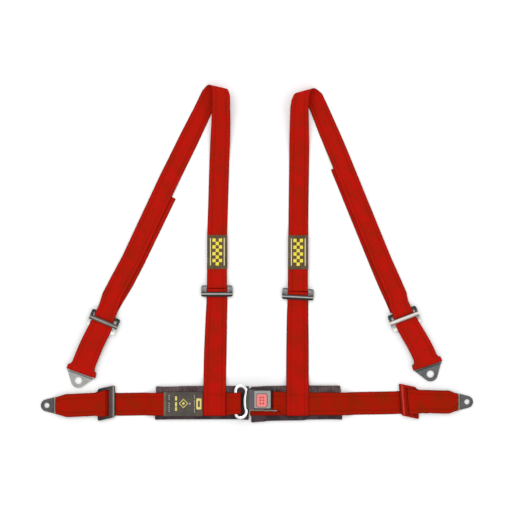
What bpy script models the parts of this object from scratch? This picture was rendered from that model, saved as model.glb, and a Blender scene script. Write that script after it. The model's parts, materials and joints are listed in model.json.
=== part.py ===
"""Four-point racing harness with a push-button lap buckle, laid out flat.

Lengths are millimetres in a drawing frame: X runs along the lap belt, Y points from the lap belt
to the shoulder straps' folds, and Z is up from the surface that the harness lies on. Meshes are
scaled to metres by MM, and the "harness" empty moves the drawing frame so that the world origin
lies under the middle of the whole harness.

Every webbing strap is a ribbon: a row of cross lines joined into an open surface and thickened.
Straps lie in numbered layers. An adjuster or slider rides on the layer that it slides along.
"""

import math

import bmesh
import bpy
from mathutils import Matrix, Vector

MM = 0.001
CENTRE_Y = 329.14  # drawing Y of the middle of the harness

GAP = 0.3  # clearance between neighbouring pieces
WEB = 1.5  # webbing thickness
LAP_WIDTH = 50.0
LOWER_WIDTH = 49.5
UPPER_WIDTH = 43.5
PLATE = 3.0  # thickness of brackets, sliders and adjusters
ARC_STEPS = 8  # segments in a half turn of webbing

# Lap belt
PAD_THICKNESS = 7.0
LAP_BOLT_X = 460.3
LAP_HOLE = 12.0
LAP_TIP_RADIUS = 13.1
SHOULDER_HOLE = 16.5
SHOULDER_TIP_RADIUS = 15.9

# A bracket's webbing bar, hinged in its loop
BAR_Z = 5.1
BAR_HALF = 2.5
BAR_WRAP = 4.05  # middle radius of the webbing round it

# Buckle heights
BASE_Z = PAD_THICKNESS + 2 * GAP + WEB
BASE_THICKNESS = 1.5
BELT_BAR = (38.0, 15.8)  # X and Z
LATCH_PIVOT = (25.5, 15.35)
LATCH_Z = (14.6, 16.1)
TONGUE_Z = (17.1, 19.1)
COVER_Z = (11.0, 27.0)
BUTTON_Z = (21.9, 29.3)


def layer(number):
    """Middle height of a webbing layer."""
    return GAP + WEB / 2 + number * (WEB + GAP)


ON_PAD = PAD_THICKNESS + GAP + WEB / 2
OVER_LAP = ON_PAD + WEB + GAP

# ---------------------------------------------------------------- scene helpers

for old in list(bpy.data.objects):
    bpy.data.objects.remove(old, do_unlink=True)

parts = bpy.data.collections.new("racing_harness")
cutters = bpy.data.collections.new("cutters")
bpy.context.scene.collection.children.link(parts)
bpy.context.scene.collection.children.link(cutters)


def material(name, colour, roughness, metallic=0.0):
    made = bpy.data.materials.new(name)
    made.use_nodes = True
    shader = made.node_tree.nodes["Principled BSDF"]
    shader.inputs["Base Color"].default_value = (*colour, 1.0)
    shader.inputs["Roughness"].default_value = roughness
    shader.inputs["Metallic"].default_value = metallic
    return made


RED_WEBBING = material("red_webbing", (0.40, 0.010, 0.004), 0.7)
BLACK_WEBBING = material("black_webbing", (0.055, 0.045, 0.050), 0.8)
LABEL_CLOTH = material("label_cloth", (0.12, 0.10, 0.075), 0.7)
DARK_STEEL = material("dark_steel", (0.10, 0.095, 0.09), 0.35, 1.0)
BRIGHT_STEEL = material("bright_steel", (0.55, 0.52, 0.47), 0.3, 1.0)
RED_COAT = material("red_coat", (0.42, 0.006, 0.004), 0.3)
CHROME = material("chrome", (0.85, 0.86, 0.85), 0.08, 1.0)
BUCKLE_PLASTIC = material("buckle_plastic", (0.13, 0.11, 0.12), 0.4)
BUTTON_PLASTIC = material("button_plastic", (0.78, 0.16, 0.17), 0.4)


def frame(name, x, y, z=0.0, angle=0.0, parent=None):
    """An empty that carries a moving body. It is placed in its parent's frame."""
    empty = bpy.data.objects.new(name + "_frame", None)
    empty.location = Vector((x, y, z)) * MM
    empty.rotation_euler.z = math.radians(angle)
    empty.parent = parent
    parts.objects.link(empty)
    return empty


def add(name, mesh, finish, parent, collection=parts):
    """Links a mesh in millimetres as an object of its parent's frame."""
    mesh.transform(Matrix.Scale(MM, 4))
    mesh.materials.append(finish)
    piece = bpy.data.objects.new(name, mesh)
    piece.parent = parent
    collection.objects.link(piece)
    return piece


def as_cutter(piece):
    cutters.objects.link(piece)
    parts.objects.unlink(piece)
    piece.hide_render = True
    piece.display_type = "WIRE"
    return piece


def combine(piece, other, operation):
    """Cuts, joins or trims a piece with another one, which becomes a cutter."""
    boolean = piece.modifiers.new(other.name, "BOOLEAN")
    boolean.operation = operation
    boolean.solver = "EXACT"
    boolean.object = as_cutter(other)
    return piece


def ribbon(name, lines, finish, parent, closed=False, thickness=WEB):
    """Webbing through cross lines, each given by its two end points."""
    bm = bmesh.new()
    rows = [[bm.verts.new(end) for end in line] for line in lines]
    for near, far in zip(rows, rows[1:] + rows[:1] if closed else rows[1:]):
        bm.faces.new((near[0], near[1], far[1], far[0]))
    mesh = bpy.data.meshes.new(name)
    bm.to_mesh(mesh)
    bm.free()
    piece = add(name, mesh, finish, parent)
    solidify = piece.modifiers.new("thickness", "SOLIDIFY")
    solidify.thickness = thickness * MM
    solidify.offset = 0.0
    solidify.use_even_offset = True
    return piece


def plate(name, outlines, low, high, finish, parent):
    """A flat plate with holes: closed outlines, filled and given a thickness."""
    curve = bpy.data.curves.new(name, "CURVE")
    curve.dimensions = "2D"
    curve.fill_mode = "BOTH"
    curve.extrude = (high - low) / 2
    for outline in outlines:
        spline = curve.splines.new("POLY")
        spline.points.add(len(outline) - 1)
        for point, (x, y) in zip(spline.points, outline):
            point.co = (x, y, 0.0, 1.0)
        spline.use_cyclic_u = True
    drawn = bpy.data.objects.new(name, curve)
    parts.objects.link(drawn)
    graph = bpy.context.evaluated_depsgraph_get()
    mesh = bpy.data.meshes.new_from_object(drawn.evaluated_get(graph))
    bpy.data.objects.remove(drawn, do_unlink=True)
    bm = bmesh.new()
    bm.from_mesh(mesh)
    bmesh.ops.remove_doubles(bm, verts=bm.verts, dist=1e-4)
    bmesh.ops.translate(bm, verts=bm.verts, vec=(0, 0, (low + high) / 2))
    bm.to_mesh(mesh)
    bm.free()
    mesh.materials.clear()
    return add(name, mesh, finish, parent)


def box(name, low, high, finish, parent):
    bm = bmesh.new()
    bmesh.ops.create_cube(bm, size=1.0)
    low, high = Vector(low), Vector(high)
    for vert in bm.verts:
        vert.co = (low + high) / 2 + Matrix.Diagonal(high - low) @ vert.co
    mesh = bpy.data.meshes.new(name)
    bm.to_mesh(mesh)
    bm.free()
    return add(name, mesh, finish, parent)


def rod(name, x, z, low_y, high_y, radius, finish, parent, sides=16):
    """A round bar that lies across the lap belt, along Y."""
    bm = bmesh.new()
    place = Matrix.Translation((x, (low_y + high_y) / 2, z)) @ Matrix.Rotation(math.pi / 2, 4, "X")
    bmesh.ops.create_cone(
        bm, cap_ends=True, segments=sides, radius1=radius, radius2=radius,
        depth=high_y - low_y, matrix=place,
    )
    mesh = bpy.data.meshes.new(name)
    bm.to_mesh(mesh)
    bm.free()
    piece = add(name, mesh, finish, parent)
    mesh.shade_smooth()
    mesh.set_sharp_from_angle(angle=math.radians(40))
    return piece


# ---------------------------------------------------------------- outlines and cross lines

def arc(x, y, radius, start, end, steps=ARC_STEPS):
    """Points on a circle from one angle to another, in degrees."""
    turns = [math.radians(start + (end - start) * i / steps) for i in range(steps + 1)]
    return [(x + radius * math.cos(t), y + radius * math.sin(t)) for t in turns]


def circle(x, y, radius, sides=24):
    return arc(x, y, radius, 0, 360, sides)[:-1]


def rectangle(x0, x1, y0, y1, radius, steps=4):
    """A rectangle with round corners."""
    corners = ((x1, y1, 0), (x0, y1, 90), (x0, y0, 180), (x1, y0, 270))
    outline = []
    for x, y, start in corners:
        inner_x = x + radius * (-1 if x == x1 else 1)
        inner_y = y + radius * (-1 if y == y1 else 1)
        outline += arc(inner_x, inner_y, radius, start, start + 90, steps)
    return outline


def cross_line(x, y, z, width, angle=90.0):
    """The two ends of a level cross line. Its angle is measured from +X."""
    half = Vector((math.cos(math.radians(angle)), math.sin(math.radians(angle)), 0)) * width / 2
    middle = Vector((x, y, z))
    return (middle + half, middle - half)


def placed(x, y, angle):
    return Matrix.Translation((x, y, 0)) @ Matrix.Rotation(math.radians(angle), 4, "Z")


def moved(lines, matrix):
    return [tuple(matrix @ Vector(end) for end in line) for line in lines]


# ---------------------------------------------------------------- sliders, loops and brackets

# Spans along the strap, from the buckle side outwards: inner bar, window, middle bar, window, outer
# bar. "wraps" is the edge, counted along the spans, behind which the anchor loop turns back.
LAP_SLIDER = {"width": 70.0, "arm": 6.0, "spans": (13.0, 6.0, 6.0, 6.0, 7.0), "wraps": 2}
REAR_SLIDER = {"width": 66.0, "arm": 5.5, "spans": (7.0, 6.5, 9.0, 7.5, 7.0), "wraps": 4}
FRONT_ADJUSTER = {"width": 69.0, "arm": 7.0, "spans": (10.0, 3.0, 2.5, 5.5, 3.5)}


def edges(kind):
    """Local X of a three-bar frame's six edges, with 0 in the middle of the frame."""
    found = [-sum(kind["spans"]) / 2]
    for span in kind["spans"]:
        found.append(found[-1] + span)
    return found


def three_bar(name, kind, bottom, finish, parent, lean=0.0):
    """A flat frame with three bars. lean is the slope of its arms to the strap's direction."""
    x = edges(kind)
    half = kind["width"] / 2
    inside = half - kind["arm"]
    outlines = [rectangle(x[0], x[5], -half, half, 4.0)]
    outlines += [rectangle(a, b, -inside, inside, 0.8, 2) for a, b in ((x[1], x[2]), (x[3], x[4]))]
    outlines = [[(px, py + lean * px) for px, py in outline] for outline in outlines]
    return plate(name, outlines, bottom, bottom + PLATE, finish, parent)


def frame_bottom(return_layer):
    """A frame lies just above the webbing's return layer."""
    return layer(return_layer) + WEB / 2 + GAP


def wrap_height(return_layer):
    """Middle height and radius of webbing wrapped round a frame's bar."""
    radius = (PLATE + 2 * GAP + WEB) / 2
    return layer(return_layer) + radius, radius


def run_between(near, far, steps=5):
    """Level cross frames on a smooth line from one placing to another."""
    start, end = near.to_translation(), far.to_translation()
    reach = (end - start).length / 3
    handle_a = start + near.to_3x3() @ Vector((reach, 0, 0))
    handle_b = end - far.to_3x3() @ Vector((reach, 0, 0))
    turn = math.atan2(far[1][0], far[0][0])
    back = math.atan2(near[1][0], near[0][0])
    frames = []
    for i in range(1, steps):
        t = i / steps
        s = 1 - t
        point = start * s**3 + handle_a * 3 * s * s * t + handle_b * 3 * s * t * t + end * t**3
        frames.append(placed(point.x, point.y, math.degrees(back + (turn - back) * t)))
    return frames


def anchor_loop(name, kind, return_layer, side_step, skew, bar, end_width, width, finish, parent):
    """The closed webbing loop between one of a slider's bars and a bracket's bar.

    bar is the bracket's placing in the slider's frame, side_step is how far the webbing lies to
    one side of the slider's middle, and skew is the angle at which it leaves the slider.
    """
    middle_z, radius = wrap_height(return_layer)
    wrap_x = edges(kind)[kind["wraps"]] + 0.6
    near = placed(edges(kind)[5] + 2, side_step, skew)
    far = bar @ placed(-20.0, 0, 0)
    runs = run_between(near, far)
    slider_wrap = [cross_line(x, side_step, z, width) for x, z in arc(wrap_x, middle_z, radius, 90, 270)]
    bar_wrap = [cross_line(x, 0, z, end_width) for x, z in arc(0, BAR_Z, BAR_WRAP, -90, 90)]
    low = layer(return_layer)
    high = low + 2 * radius
    low_run = [near] + runs + [far]
    lines = slider_wrap
    lines += [moved([cross_line(0, 0, low, width)], step)[0] for step in low_run]
    shoulder = [cross_line(-3.0, 0, BAR_Z - BAR_WRAP, end_width)]
    lines += moved(shoulder + bar_wrap + [cross_line(-3.0, 0, BAR_Z + BAR_WRAP, end_width)], bar)
    lines += [moved([cross_line(0, 0, high, width)], step)[0] for step in reversed(low_run)]
    return ribbon(name, lines, finish, parent, closed=True)


def bracket(name, head, slot, ear, hole_x, hole, tip, neck, finish, parent):
    """A bent steel bracket. Its webbing bar is on the local Y axis and its bolt hole is at +X.

    ear is how far the corners beside the webbing reach back from the bar's middle.
    """
    reach = hole_x + tip + 5
    drop = BAR_Z - PLATE / 2 - 0.2
    bend = [(-10.0, 0.0), (5.6, 0.0), (9.4, -drop), (reach, -drop)]
    lines = [cross_line(x, 0, z, 2 * head + 10) for x, z in bend]
    piece = ribbon(name, lines, finish, parent, thickness=PLATE)
    away = Vector((neck - hole_x, head))
    start = math.degrees(math.atan2(away.y, away.x) - math.acos(tip / away.length))
    outline = arc(hole_x, 0, tip, -start, start, 16)
    corner = 3.0
    upper = arc(corner - ear, head - corner, corner, 90, 180, 4)
    upper += [(-ear, slot + 0.2), (-BAR_HALF, slot - 0.2)]
    outline += [(neck, head)] + upper + [(x, -y) for x, y in reversed(upper)] + [(neck, -head)]
    slot_outline = rectangle(BAR_HALF, 5.4, -slot, slot, 0.8, 2)
    blank = plate(name + "_outline", [outline, circle(hole_x, 0, hole / 2), slot_outline], -20, 20, finish, parent)
    return combine(piece, blank, "INTERSECT")


def lap_side(side, half_body, slider_at, slider_angle, lean, bar_y, slider_finish, side_step):
    """One lap slider, the webbing loop outside it and its bolt bracket."""
    out = 0.0 if side == "right" else 180.0
    sign = 1 if side == "right" else -1
    anchor = frame("lap_anchor_" + side, slider_at[0], slider_at[1], 0, out + slider_angle, half_body)
    three_bar("lap_slider_" + side, LAP_SLIDER, frame_bottom(1), slider_finish, anchor, lean)
    hole_reach = 24.3
    bar_world = placed(sign * (LAP_BOLT_X - hole_reach), bar_y, out)
    bar = placed(slider_at[0], slider_at[1], out + slider_angle).inverted() @ bar_world
    anchor_loop("lap_loop_" + side, LAP_SLIDER, 1, side_step, 0, bar, 29.6, LAP_WIDTH, RED_WEBBING, anchor)
    place = bar.to_translation()
    hinge = frame("lap_bracket_" + side, place.x, place.y, BAR_Z, -slider_angle, anchor)
    bracket(
        "lap_bracket_" + side, 19.0, 15.3, BAR_HALF, hole_reach, LAP_HOLE, LAP_TIP_RADIUS, 3.0,
        DARK_STEEL, hinge,
    )


def rear_side(
    side, body, slider_at, slider_angle, bar_at, bar_angle, side_step, skew, hole_x, bracket_finish,
):
    """One rear slider, its lower webbing loop and its bolt bracket."""
    anchor = frame("rear_anchor_" + side, slider_at[0], slider_at[1], 0, slider_angle, body)
    three_bar("rear_slider_" + side, REAR_SLIDER, frame_bottom(2), DARK_STEEL, anchor)
    bar = placed(slider_at[0], slider_at[1], slider_angle).inverted() @ placed(*bar_at, bar_angle)
    anchor_loop("rear_loop_" + side, REAR_SLIDER, 2, side_step, skew, bar, 50.0, LAP_WIDTH, RED_WEBBING, anchor)
    place = bar.to_translation()
    hinge = frame("shoulder_bracket_" + side, place.x, place.y, BAR_Z, bar_angle - slider_angle, anchor)
    bracket(
        "shoulder_bracket_" + side, 32.5, 25.7, 8.0, hole_x, SHOULDER_HOLE, SHOULDER_TIP_RADIUS, 4.0,
        bracket_finish, hinge,
    )


# ---------------------------------------------------------------- shoulder straps

def lower_strap(side, half_body, line, adjuster_y):
    """The lower shoulder strap: sewn over the lap webbing, and threaded under its adjuster."""
    off_pad = 62.0
    tail_width = UPPER_WIDTH - 0.5
    lines = []
    for x, y in line:
        height = OVER_LAP if y < 45 else layer(0)
        lines.append(cross_line(x, y, height, LOWER_WIDTH, 0))
        if height == OVER_LAP and y > 0:
            lines.append(cross_line(x, off_pad, layer(0), LOWER_WIDTH, 0))
    x = line[-1][0]
    lines.append(cross_line(x, adjuster_y - 3, layer(0), LOWER_WIDTH, 0))
    lines.append(cross_line(x, adjuster_y + 6, layer(0), tail_width, 0))
    lines.append(cross_line(x, adjuster_y + 85, layer(0), tail_width, 0))
    ribbon("shoulder_webbing_lower_" + side, lines, RED_WEBBING, half_body)


def front_adjuster(side, body, x, y, angle):
    """The three-bar adjuster and the turn of webbing over its middle bar."""
    place = frame("adjuster_" + side, x, y, 0, 90 + angle, body)
    three_bar("shoulder_adjuster_" + side, FRONT_ADJUSTER, frame_bottom(1), DARK_STEEL, place)
    edge = edges(FRONT_ADJUSTER)
    top = frame_bottom(1) + PLATE + GAP + WEB / 2
    leg_near = (edge[1] + edge[2]) / 2
    leg_far = edge[3] + 1.4
    turn = 1.75
    path = [(leg_near, layer(1) - 0.4)] + arc(leg_near + turn, top - turn, turn, 180, 90, 4)
    path += arc(leg_far - turn, top - turn, turn, 90, 0, 4) + [(leg_far, layer(1) - 0.4)]
    lines = [cross_line(px, 0, pz, LOWER_WIDTH - 2) for px, pz in path]
    ribbon("adjuster_bight_" + side, lines, RED_WEBBING, place)
    return place


FOLD_RADIUS = 14.0
RETURN_END = 60.0  # how far the sewn return runs past the adjuster's upper bar


def upper_webbing(side, body, adjuster, front, fold, rear):
    """The long upper strap: looped on the adjuster, folded over at the top, and down the rear leg.

    fold holds the crease's middle, its tilt from +X and half its shift along the crease; the front
    leg arrives on top and the rear leg leaves beneath.
    """
    x, y, angle = adjuster
    edge = edges(FRONT_ADJUSTER)
    wrap_z, radius = wrap_height(1)
    local = placed(x, y, 90 + angle)
    path = [(edge[5] + RETURN_END, layer(1)), (edge[5] + 4, layer(1))]
    path += arc(edge[4] + 0.6, wrap_z, radius, 270, 90)
    path += [(edge[5] + 4, wrap_z + radius)]
    lines = moved([cross_line(px, 0, pz, UPPER_WIDTH, -90) for px, pz in path], local)
    lines += [cross_line(px, py, pz, UPPER_WIDTH, 0) for px, py, pz in front]
    (mid_x, mid_y), tilt, shift = fold
    along = Vector((math.cos(math.radians(tilt)), math.sin(math.radians(tilt))))
    outward = Vector((-along.y, along.x))
    slant = UPPER_WIDTH / math.cos(math.radians(tilt))
    steps = 10
    for i in range(steps + 1):
        turned = math.pi * i / steps
        middle = Vector((mid_x, mid_y)) - outward * FOLD_RADIUS * (1 - math.sin(turned))
        middle -= along * shift * (2 * i / steps - 1)
        height = layer(0) + FOLD_RADIUS * (1 + math.cos(turned))
        lines.append(cross_line(middle.x, middle.y, height, slant, tilt))
    lines += [cross_line(px, py, pz, UPPER_WIDTH, turn) for px, py, pz, turn in rear]
    ribbon("shoulder_webbing_upper_" + side, lines, RED_WEBBING, body)


def shoulder_label(side, body, x, y, angle):
    place = frame("label_" + side, x, y, 0, angle, body)
    low = layer(2) + WEB / 2 + GAP
    plate("shoulder_label_" + side, [rectangle(-22.1, 22.1, -37.2, 37.2, 1.5, 2)], low, low + 0.9, LABEL_CLOTH, place)


def leg_tail(side, body, points):
    """The strap's free end, which lies under the rear leg."""
    lines = [cross_line(x, y, layer(0), UPPER_WIDTH, angle) for x, y, angle in points]
    ribbon("shoulder_tail_" + side, lines, RED_WEBBING, body)


# ---------------------------------------------------------------- buckle

BUCKLE_Y = 9.8
EAR_Y = ((-13.5, -12.0), (32.3, 33.8))


def buckle_base(body):
    top = BASE_Z + BASE_THICKNESS
    base = plate("buckle_base", [rectangle(-17, 44, -14.7, 34.8, 3.0)], BASE_Z, top, BRIGHT_STEEL, body)
    for number, (low, high) in enumerate(EAR_Y):
        ear = box(f"buckle_ear_{number}", (16, low, BASE_Z + 0.5), (44, high, 20.5), BRIGHT_STEEL, body)
        combine(base, ear, "UNION")
    for label, (x, z), radius in (("belt_bar", BELT_BAR, 3.3), ("latch_pin", LATCH_PIVOT, 1.8)):
        hole = rod(f"buckle_{label}_hole", x, z, -25, 40, radius, BRIGHT_STEEL, body)
        combine(base, hole, "DIFFERENCE")


def buckle_cover(body):
    """The cover: a box, open below, with a mouth for the tongue and a window for the button."""
    low, high = COVER_Z
    wall = 1.8
    shell = plate("buckle_cover", [rectangle(-20, 31, -9.7, 31.9, 3.5)], low, high, BUCKLE_PLASTIC, body)
    hollow = plate(
        "buckle_hollow", [rectangle(-20 + wall, 31 - wall, -9.7 + wall, 31.9 - wall, 2.0)],
        low - 5, high - 2.0, BUCKLE_PLASTIC, body,
    )
    combine(shell, hollow, "DIFFERENCE")
    cuts = (
        box("buckle_mouth", (-25, -7.5, TONGUE_Z[0] - 1.0), (-15, 25.1, TONGUE_Z[1] + 1.0), BUCKLE_PLASTIC, body),
        plate("buckle_window", [rectangle(-1.6, 22.4, -4.3, 25.1, 5.0)], high - 6, high + 6, BUCKLE_PLASTIC, body),
        rod("buckle_pin_hole", *LATCH_PIVOT, -25, 40, 1.8, BUCKLE_PLASTIC, body),
    )
    for cut in cuts:
        combine(shell, cut, "DIFFERENCE")


def buckle_bezel(body):
    top = COVER_Z[1] + GAP
    outlines = [rectangle(-5.7, 29.6, -6.5, 31.2, 2.0), rectangle(-1.8, 23.0, -4.6, 25.5, 5.0)]
    plate("buckle_bezel", outlines, top, top + 1.4, BRIGHT_STEEL, body)


def release_button(body):
    """The square button and the post that pushes the latch down."""
    low, high = BUTTON_Z
    button = plate("release_button", [rectangle(-0.9, 21.7, -3.6, 24.4, 4.5)], low, high, BUTTON_PLASTIC, body)
    post = box("button_post", (8.0, 5.3, LATCH_Z[1] + GAP), (11.0, 15.3, low + 1), BUTTON_PLASTIC, body)
    combine(button, post, "UNION")


def latch(body):
    """The latch lever. Its frame is on the pivot, and its tooth stands under the tongue's window."""
    pivot_x, pivot_z = LATCH_PIVOT
    low, high = LATCH_Z[0] - pivot_z, LATCH_Z[1] - pivot_z
    lever = box("latch_lever", (-4 - pivot_x, -1.7, low), (0, 20.3, high), DARK_STEEL, body)
    tooth = box("latch_tooth", (-4 - pivot_x, 3.3, high - 0.5), (-1 - pivot_x, 15.3, 16.7 - pivot_z), DARK_STEEL, body)
    barrel = rod("latch_barrel", 0, 0, -6.7, 25.3, 3.0, DARK_STEEL, body)
    bore = rod("latch_bore", 0, 0, -25, 40, 1.8, DARK_STEEL, body)
    combine(lever, tooth, "UNION")
    combine(lever, barrel, "UNION")
    combine(lever, bore, "DIFFERENCE")


def latch_spring(body):
    """A small compression spring between the base and the latch lever."""
    wire, radius, turns, points = 0.7, 2.6, 3.0, 12
    low = BASE_Z + BASE_THICKNESS + GAP + wire / 2
    high = LATCH_Z[0] - GAP - wire / 2
    curve = bpy.data.curves.new("latch_spring", "CURVE")
    curve.dimensions = "3D"
    curve.bevel_depth = wire / 2
    curve.bevel_resolution = 2
    curve.use_fill_caps = True
    spline = curve.splines.new("POLY")
    count = int(turns * points)
    spline.points.add(count)
    for i, point in enumerate(spline.points):
        angle = 2 * math.pi * i / points
        height = low + (high - low) * i / count
        point.co = (15 + radius * math.cos(angle), BUCKLE_Y + radius * math.sin(angle), height, 1)
    curve.materials.append(DARK_STEEL)
    spring = bpy.data.objects.new("latch_spring", curve)
    spring.scale = (MM, MM, MM)
    spring.parent = body
    parts.objects.link(spring)


def tongue(body):
    """The ring that holds the lap webbing, with its blade."""
    low, high = TONGUE_Z
    ring_low, ring_high = low - 0.6, high + 0.8
    outer = rectangle(-49, -21, -29.8, 43.2, 11.0, 6)
    window = rectangle(-41.3, -27, -22.8, 35.2, 4.0)
    ring = plate("tongue", [outer, window], ring_low, ring_high, CHROME, body)
    blade = plate(
        "tongue_blade", [rectangle(-24, 5, -6.7, 23.3, 4.0), rectangle(-7, 1.5, 2.3, 16.3, 1.0, 2)],
        low, high, CHROME, body,
    )
    combine(ring, blade, "UNION")


# ---------------------------------------------------------------- pads and lap webbing

def pelvic_pad(side, outline, body):
    plate("pelvic_pad_" + side, [outline], 0.0, PAD_THICKNESS, BLACK_WEBBING, body)


def lap_webbing_left(body):
    """From under the slider, over the pad, and round the tongue's bar."""
    bar_z = (TONGUE_Z[0] - 0.6 + TONGUE_Z[1] + 0.8) / 2
    turn = 2.95
    at_bar = 47.0
    path = [(-374, layer(0), -3.3, LAP_WIDTH), (-300, layer(0), -1.5, LAP_WIDTH), (-247, layer(0), -0.6, LAP_WIDTH)]
    path += [(-228, ON_PAD, -0.4, LAP_WIDTH), (-118, ON_PAD, 0, LAP_WIDTH), (-66, ON_PAD, 0, LAP_WIDTH)]
    path += [(-46, bar_z - turn, 2.5, at_bar)]
    path += [(x, z, 3, at_bar) for x, z in arc(-41.9, bar_z, turn, -90, 90)]
    path += [(-50.5, bar_z + turn, 2.5, at_bar), (-66.8, OVER_LAP + 1.4, 0, LAP_WIDTH)]
    lines = [cross_line(x, y, z, width) for x, z, y, width in path]
    ribbon("lap_webbing_left", lines, RED_WEBBING, body)


def lap_webbing_right(body):
    """From under the slider, over the pad, and round the buckle's belt bar."""
    bar_x, bar_z = BELT_BAR
    path = [(375, layer(0), 3.6, LAP_WIDTH), (300, layer(0), 2.0, LAP_WIDTH), (214, layer(0), 0.6, LAP_WIDTH)]
    path += [(195, ON_PAD, 0.4, LAP_WIDTH), (116, ON_PAD, 0.4, LAP_WIDTH), (61, ON_PAD, 0.8, LAP_WIDTH)]
    path += [(54, ON_PAD + 3.6, 3.5, 47), (46, bar_z + 0.3, BUCKLE_Y - 1.2, 40.6)]
    path += [(x, z, BUCKLE_Y - 1.2, 40.6) for x, z in arc(bar_x, bar_z, BAR_WRAP, 60, 270)]
    path += [(45, bar_z - BAR_WRAP, BUCKLE_Y - 1.2, 40.6), (50, OVER_LAP + 0.1, BUCKLE_Y - 1.2, 40.6)]
    lines = [cross_line(x, y, z, width) for x, z, y, width in path]
    ribbon("lap_webbing_right", lines, RED_WEBBING, body)


def backing_flap(body):
    """A flat piece of webbing that keeps the buckle off the pad."""
    lines = [cross_line(x, 0, ON_PAD, LAP_WIDTH) for x in (-15, 20, 55)]
    ribbon("buckle_backing_flap", lines, RED_WEBBING, body)


# ---------------------------------------------------------------- the harness

harness = frame("harness", 0, -CENTRE_Y)

# Right half: pad, lap webbing, lower strap and the buckle
right_half = frame("right_half", 0, 0, parent=harness)
pelvic_pad("right", [(-14.2, -40.0), (189.8, -33.6), (184.4, 41.4), (70, 41.6), (-14.2, 39.0)], right_half)
lap_webbing_right(right_half)
backing_flap(right_half)
buckle_base(right_half)
buckle_cover(right_half)
buckle_bezel(right_half)
rod("belt_bar", *BELT_BAR, -16.2, 36.5, 3.0, BRIGHT_STEEL, right_half)
rod("latch_pin", *LATCH_PIVOT, -15.2, 35.5, 1.5, BRIGHT_STEEL, right_half, 12)
latch_spring(right_half)
latch(frame("latch", LATCH_PIVOT[0], 0, LATCH_PIVOT[1], parent=right_half))
release_button(frame("button", 0, 0, parent=right_half))

# Left half: pad, lap webbing, lower strap and the tongue
left_half = frame("left_half", 0, 0, parent=harness)
pelvic_pad("left", [(-225.0, -35.6), (-15.2, -34.2), (-15.2, 39.6), (-100, 41.2), (-222.4, 38.8)], left_half)
lap_webbing_left(left_half)
tongue(left_half)
label_low = ON_PAD + WEB / 2 + GAP
plate(
    "lap_label", [rectangle(-204, -119, -26.4, 26.4, 2.0, 2)],
    label_low, label_low + 0.9, LABEL_CLOTH, left_half,
)

lap_side("left", left_half, (-329.5, 1.9), 0.0, 0.22, -3.5, DARK_STEEL, 2.5)
lap_side("right", right_half, (332.6, 5.8), 4.5, -0.30, 4.2, RED_COAT, -2.0)

LEFT_LOWER = [(-92.5, -26), (-92.2, 42), (-91.1, 116), (-89.1, 182), (-88.0, 226)]
RIGHT_LOWER = [(88.8, -26), (88.8, 42), (89.1, 130), (89.2, 204), (89.6, 220)]
lower_strap("left", left_half, LEFT_LOWER, 247.0)
lower_strap("right", right_half, RIGHT_LOWER, 240.3)

high = layer(2)
low = layer(0)
top = low + 2 * FOLD_RADIUS

LEFT_FRONT = [
    (-87.3, 288, high), (-87.0, 375, high), (-86.3, 396, low), (-84.8, 445, low), (-82.2, 533, low + 1),
    (-80.2, 577, low + 6), (-78.4, 621, low + 16), (-77.9, 652, top - 3),
]
LEFT_REAR = [
    (-117.0, 646, low, -24), (-150.0, 578, low, -26), (-178.5, 520, low, -26), (-193.2, 490, layer(1), -26),
    (-275.4, 314, layer(1), -26), (-299.0, 270, layer(1), -26), (-322.6, 226, layer(1), -24),
    (-331.0, 200, layer(1), -18), (-338.0, 175, layer(1), -20), (-354.0, 138, layer(1), -25),
]
RIGHT_FRONT = [
    (90.0, 285, high), (90.5, 372, high), (90.9, 393, low), (91.4, 445, low), (92.6, 533, low + 1),
    (92.7, 577, low + 6), (92.5, 621, low + 16), (92.2, 648, top - 3),
]
RIGHT_REAR = [
    (136.0, 648, low, 21), (155.0, 602, low, 22.6), (166.5, 575, low, 22.6), (178.0, 547, layer(1), 22.6),
    (273.0, 314, layer(1), 22.6), (292.7, 270, layer(1), 22.6), (312.0, 226, layer(1), 20.0),
    (317.4, 205, layer(1), 18.0), (323.5, 187, layer(1), 20.0), (340.0, 150, layer(1), 25.0),
]

LEFT_TAIL = [
    (-197.4, 458.5, -26), (-268.2, 312, -26), (-292.2, 266, -26), (-317.0, 225, -24), (-328.0, 205, -19),
]
RIGHT_TAIL = [
    (182.1, 521.2, 22.5), (267.2, 312, 22.6), (285.5, 268, 22.6), (304.6, 226, 20), (313.6, 205, 18),
]

shoulder_left = frame("shoulder_left", 0, 0, parent=left_half)
front_adjuster("left", shoulder_left, -87.5, 247.0, 0.0)
upper_webbing("left", shoulder_left, (-87.5, 247.0, 0.0), LEFT_FRONT, ((-86.0, 692.5), -13.05, 11.5), LEFT_REAR)
shoulder_label("left", shoulder_left, -86.8, 332.5, 0.0)
leg_tail("left", shoulder_left, LEFT_TAIL)
rear_side(
    "left", shoulder_left, (-335.7, 179.5), -112.6, (-383.9, 71.5), -109.5, -1.5, -6.0, 21.8, BRIGHT_STEEL,
)

shoulder_right = frame("shoulder_right", 0, 0, parent=right_half)
front_adjuster("right", shoulder_right, 89.7, 240.3, -3.0)
upper_webbing("right", shoulder_right, (89.7, 240.3, -3.0), RIGHT_FRONT, ((105.0, 689.0), 12.5, -15.0), RIGHT_REAR)
shoulder_label("right", shoulder_right, 90.3, 331.8, 0.0)
leg_tail("right", shoulder_right, RIGHT_TAIL)
rear_side(
    "right", shoulder_right, (322.6, 186.8), -69.0, (372.5, 87.7), -71.5, 2.0, 9.0, 23.8, DARK_STEEL,
)
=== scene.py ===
"""The looks of a racing harness that is laid out flat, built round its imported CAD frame.

Design lengths are millimetres in the harness's drawing frame: X runs along the lap belt, Y points
from the lap belt to the shoulder straps' folds, and Z is up from the floor. world() turns them
into metres in the row frame. Straps are threaded through their adjusters and sliders here, where
the CAD model has separate flat runs and loops.
"""

import json
import math

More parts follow.
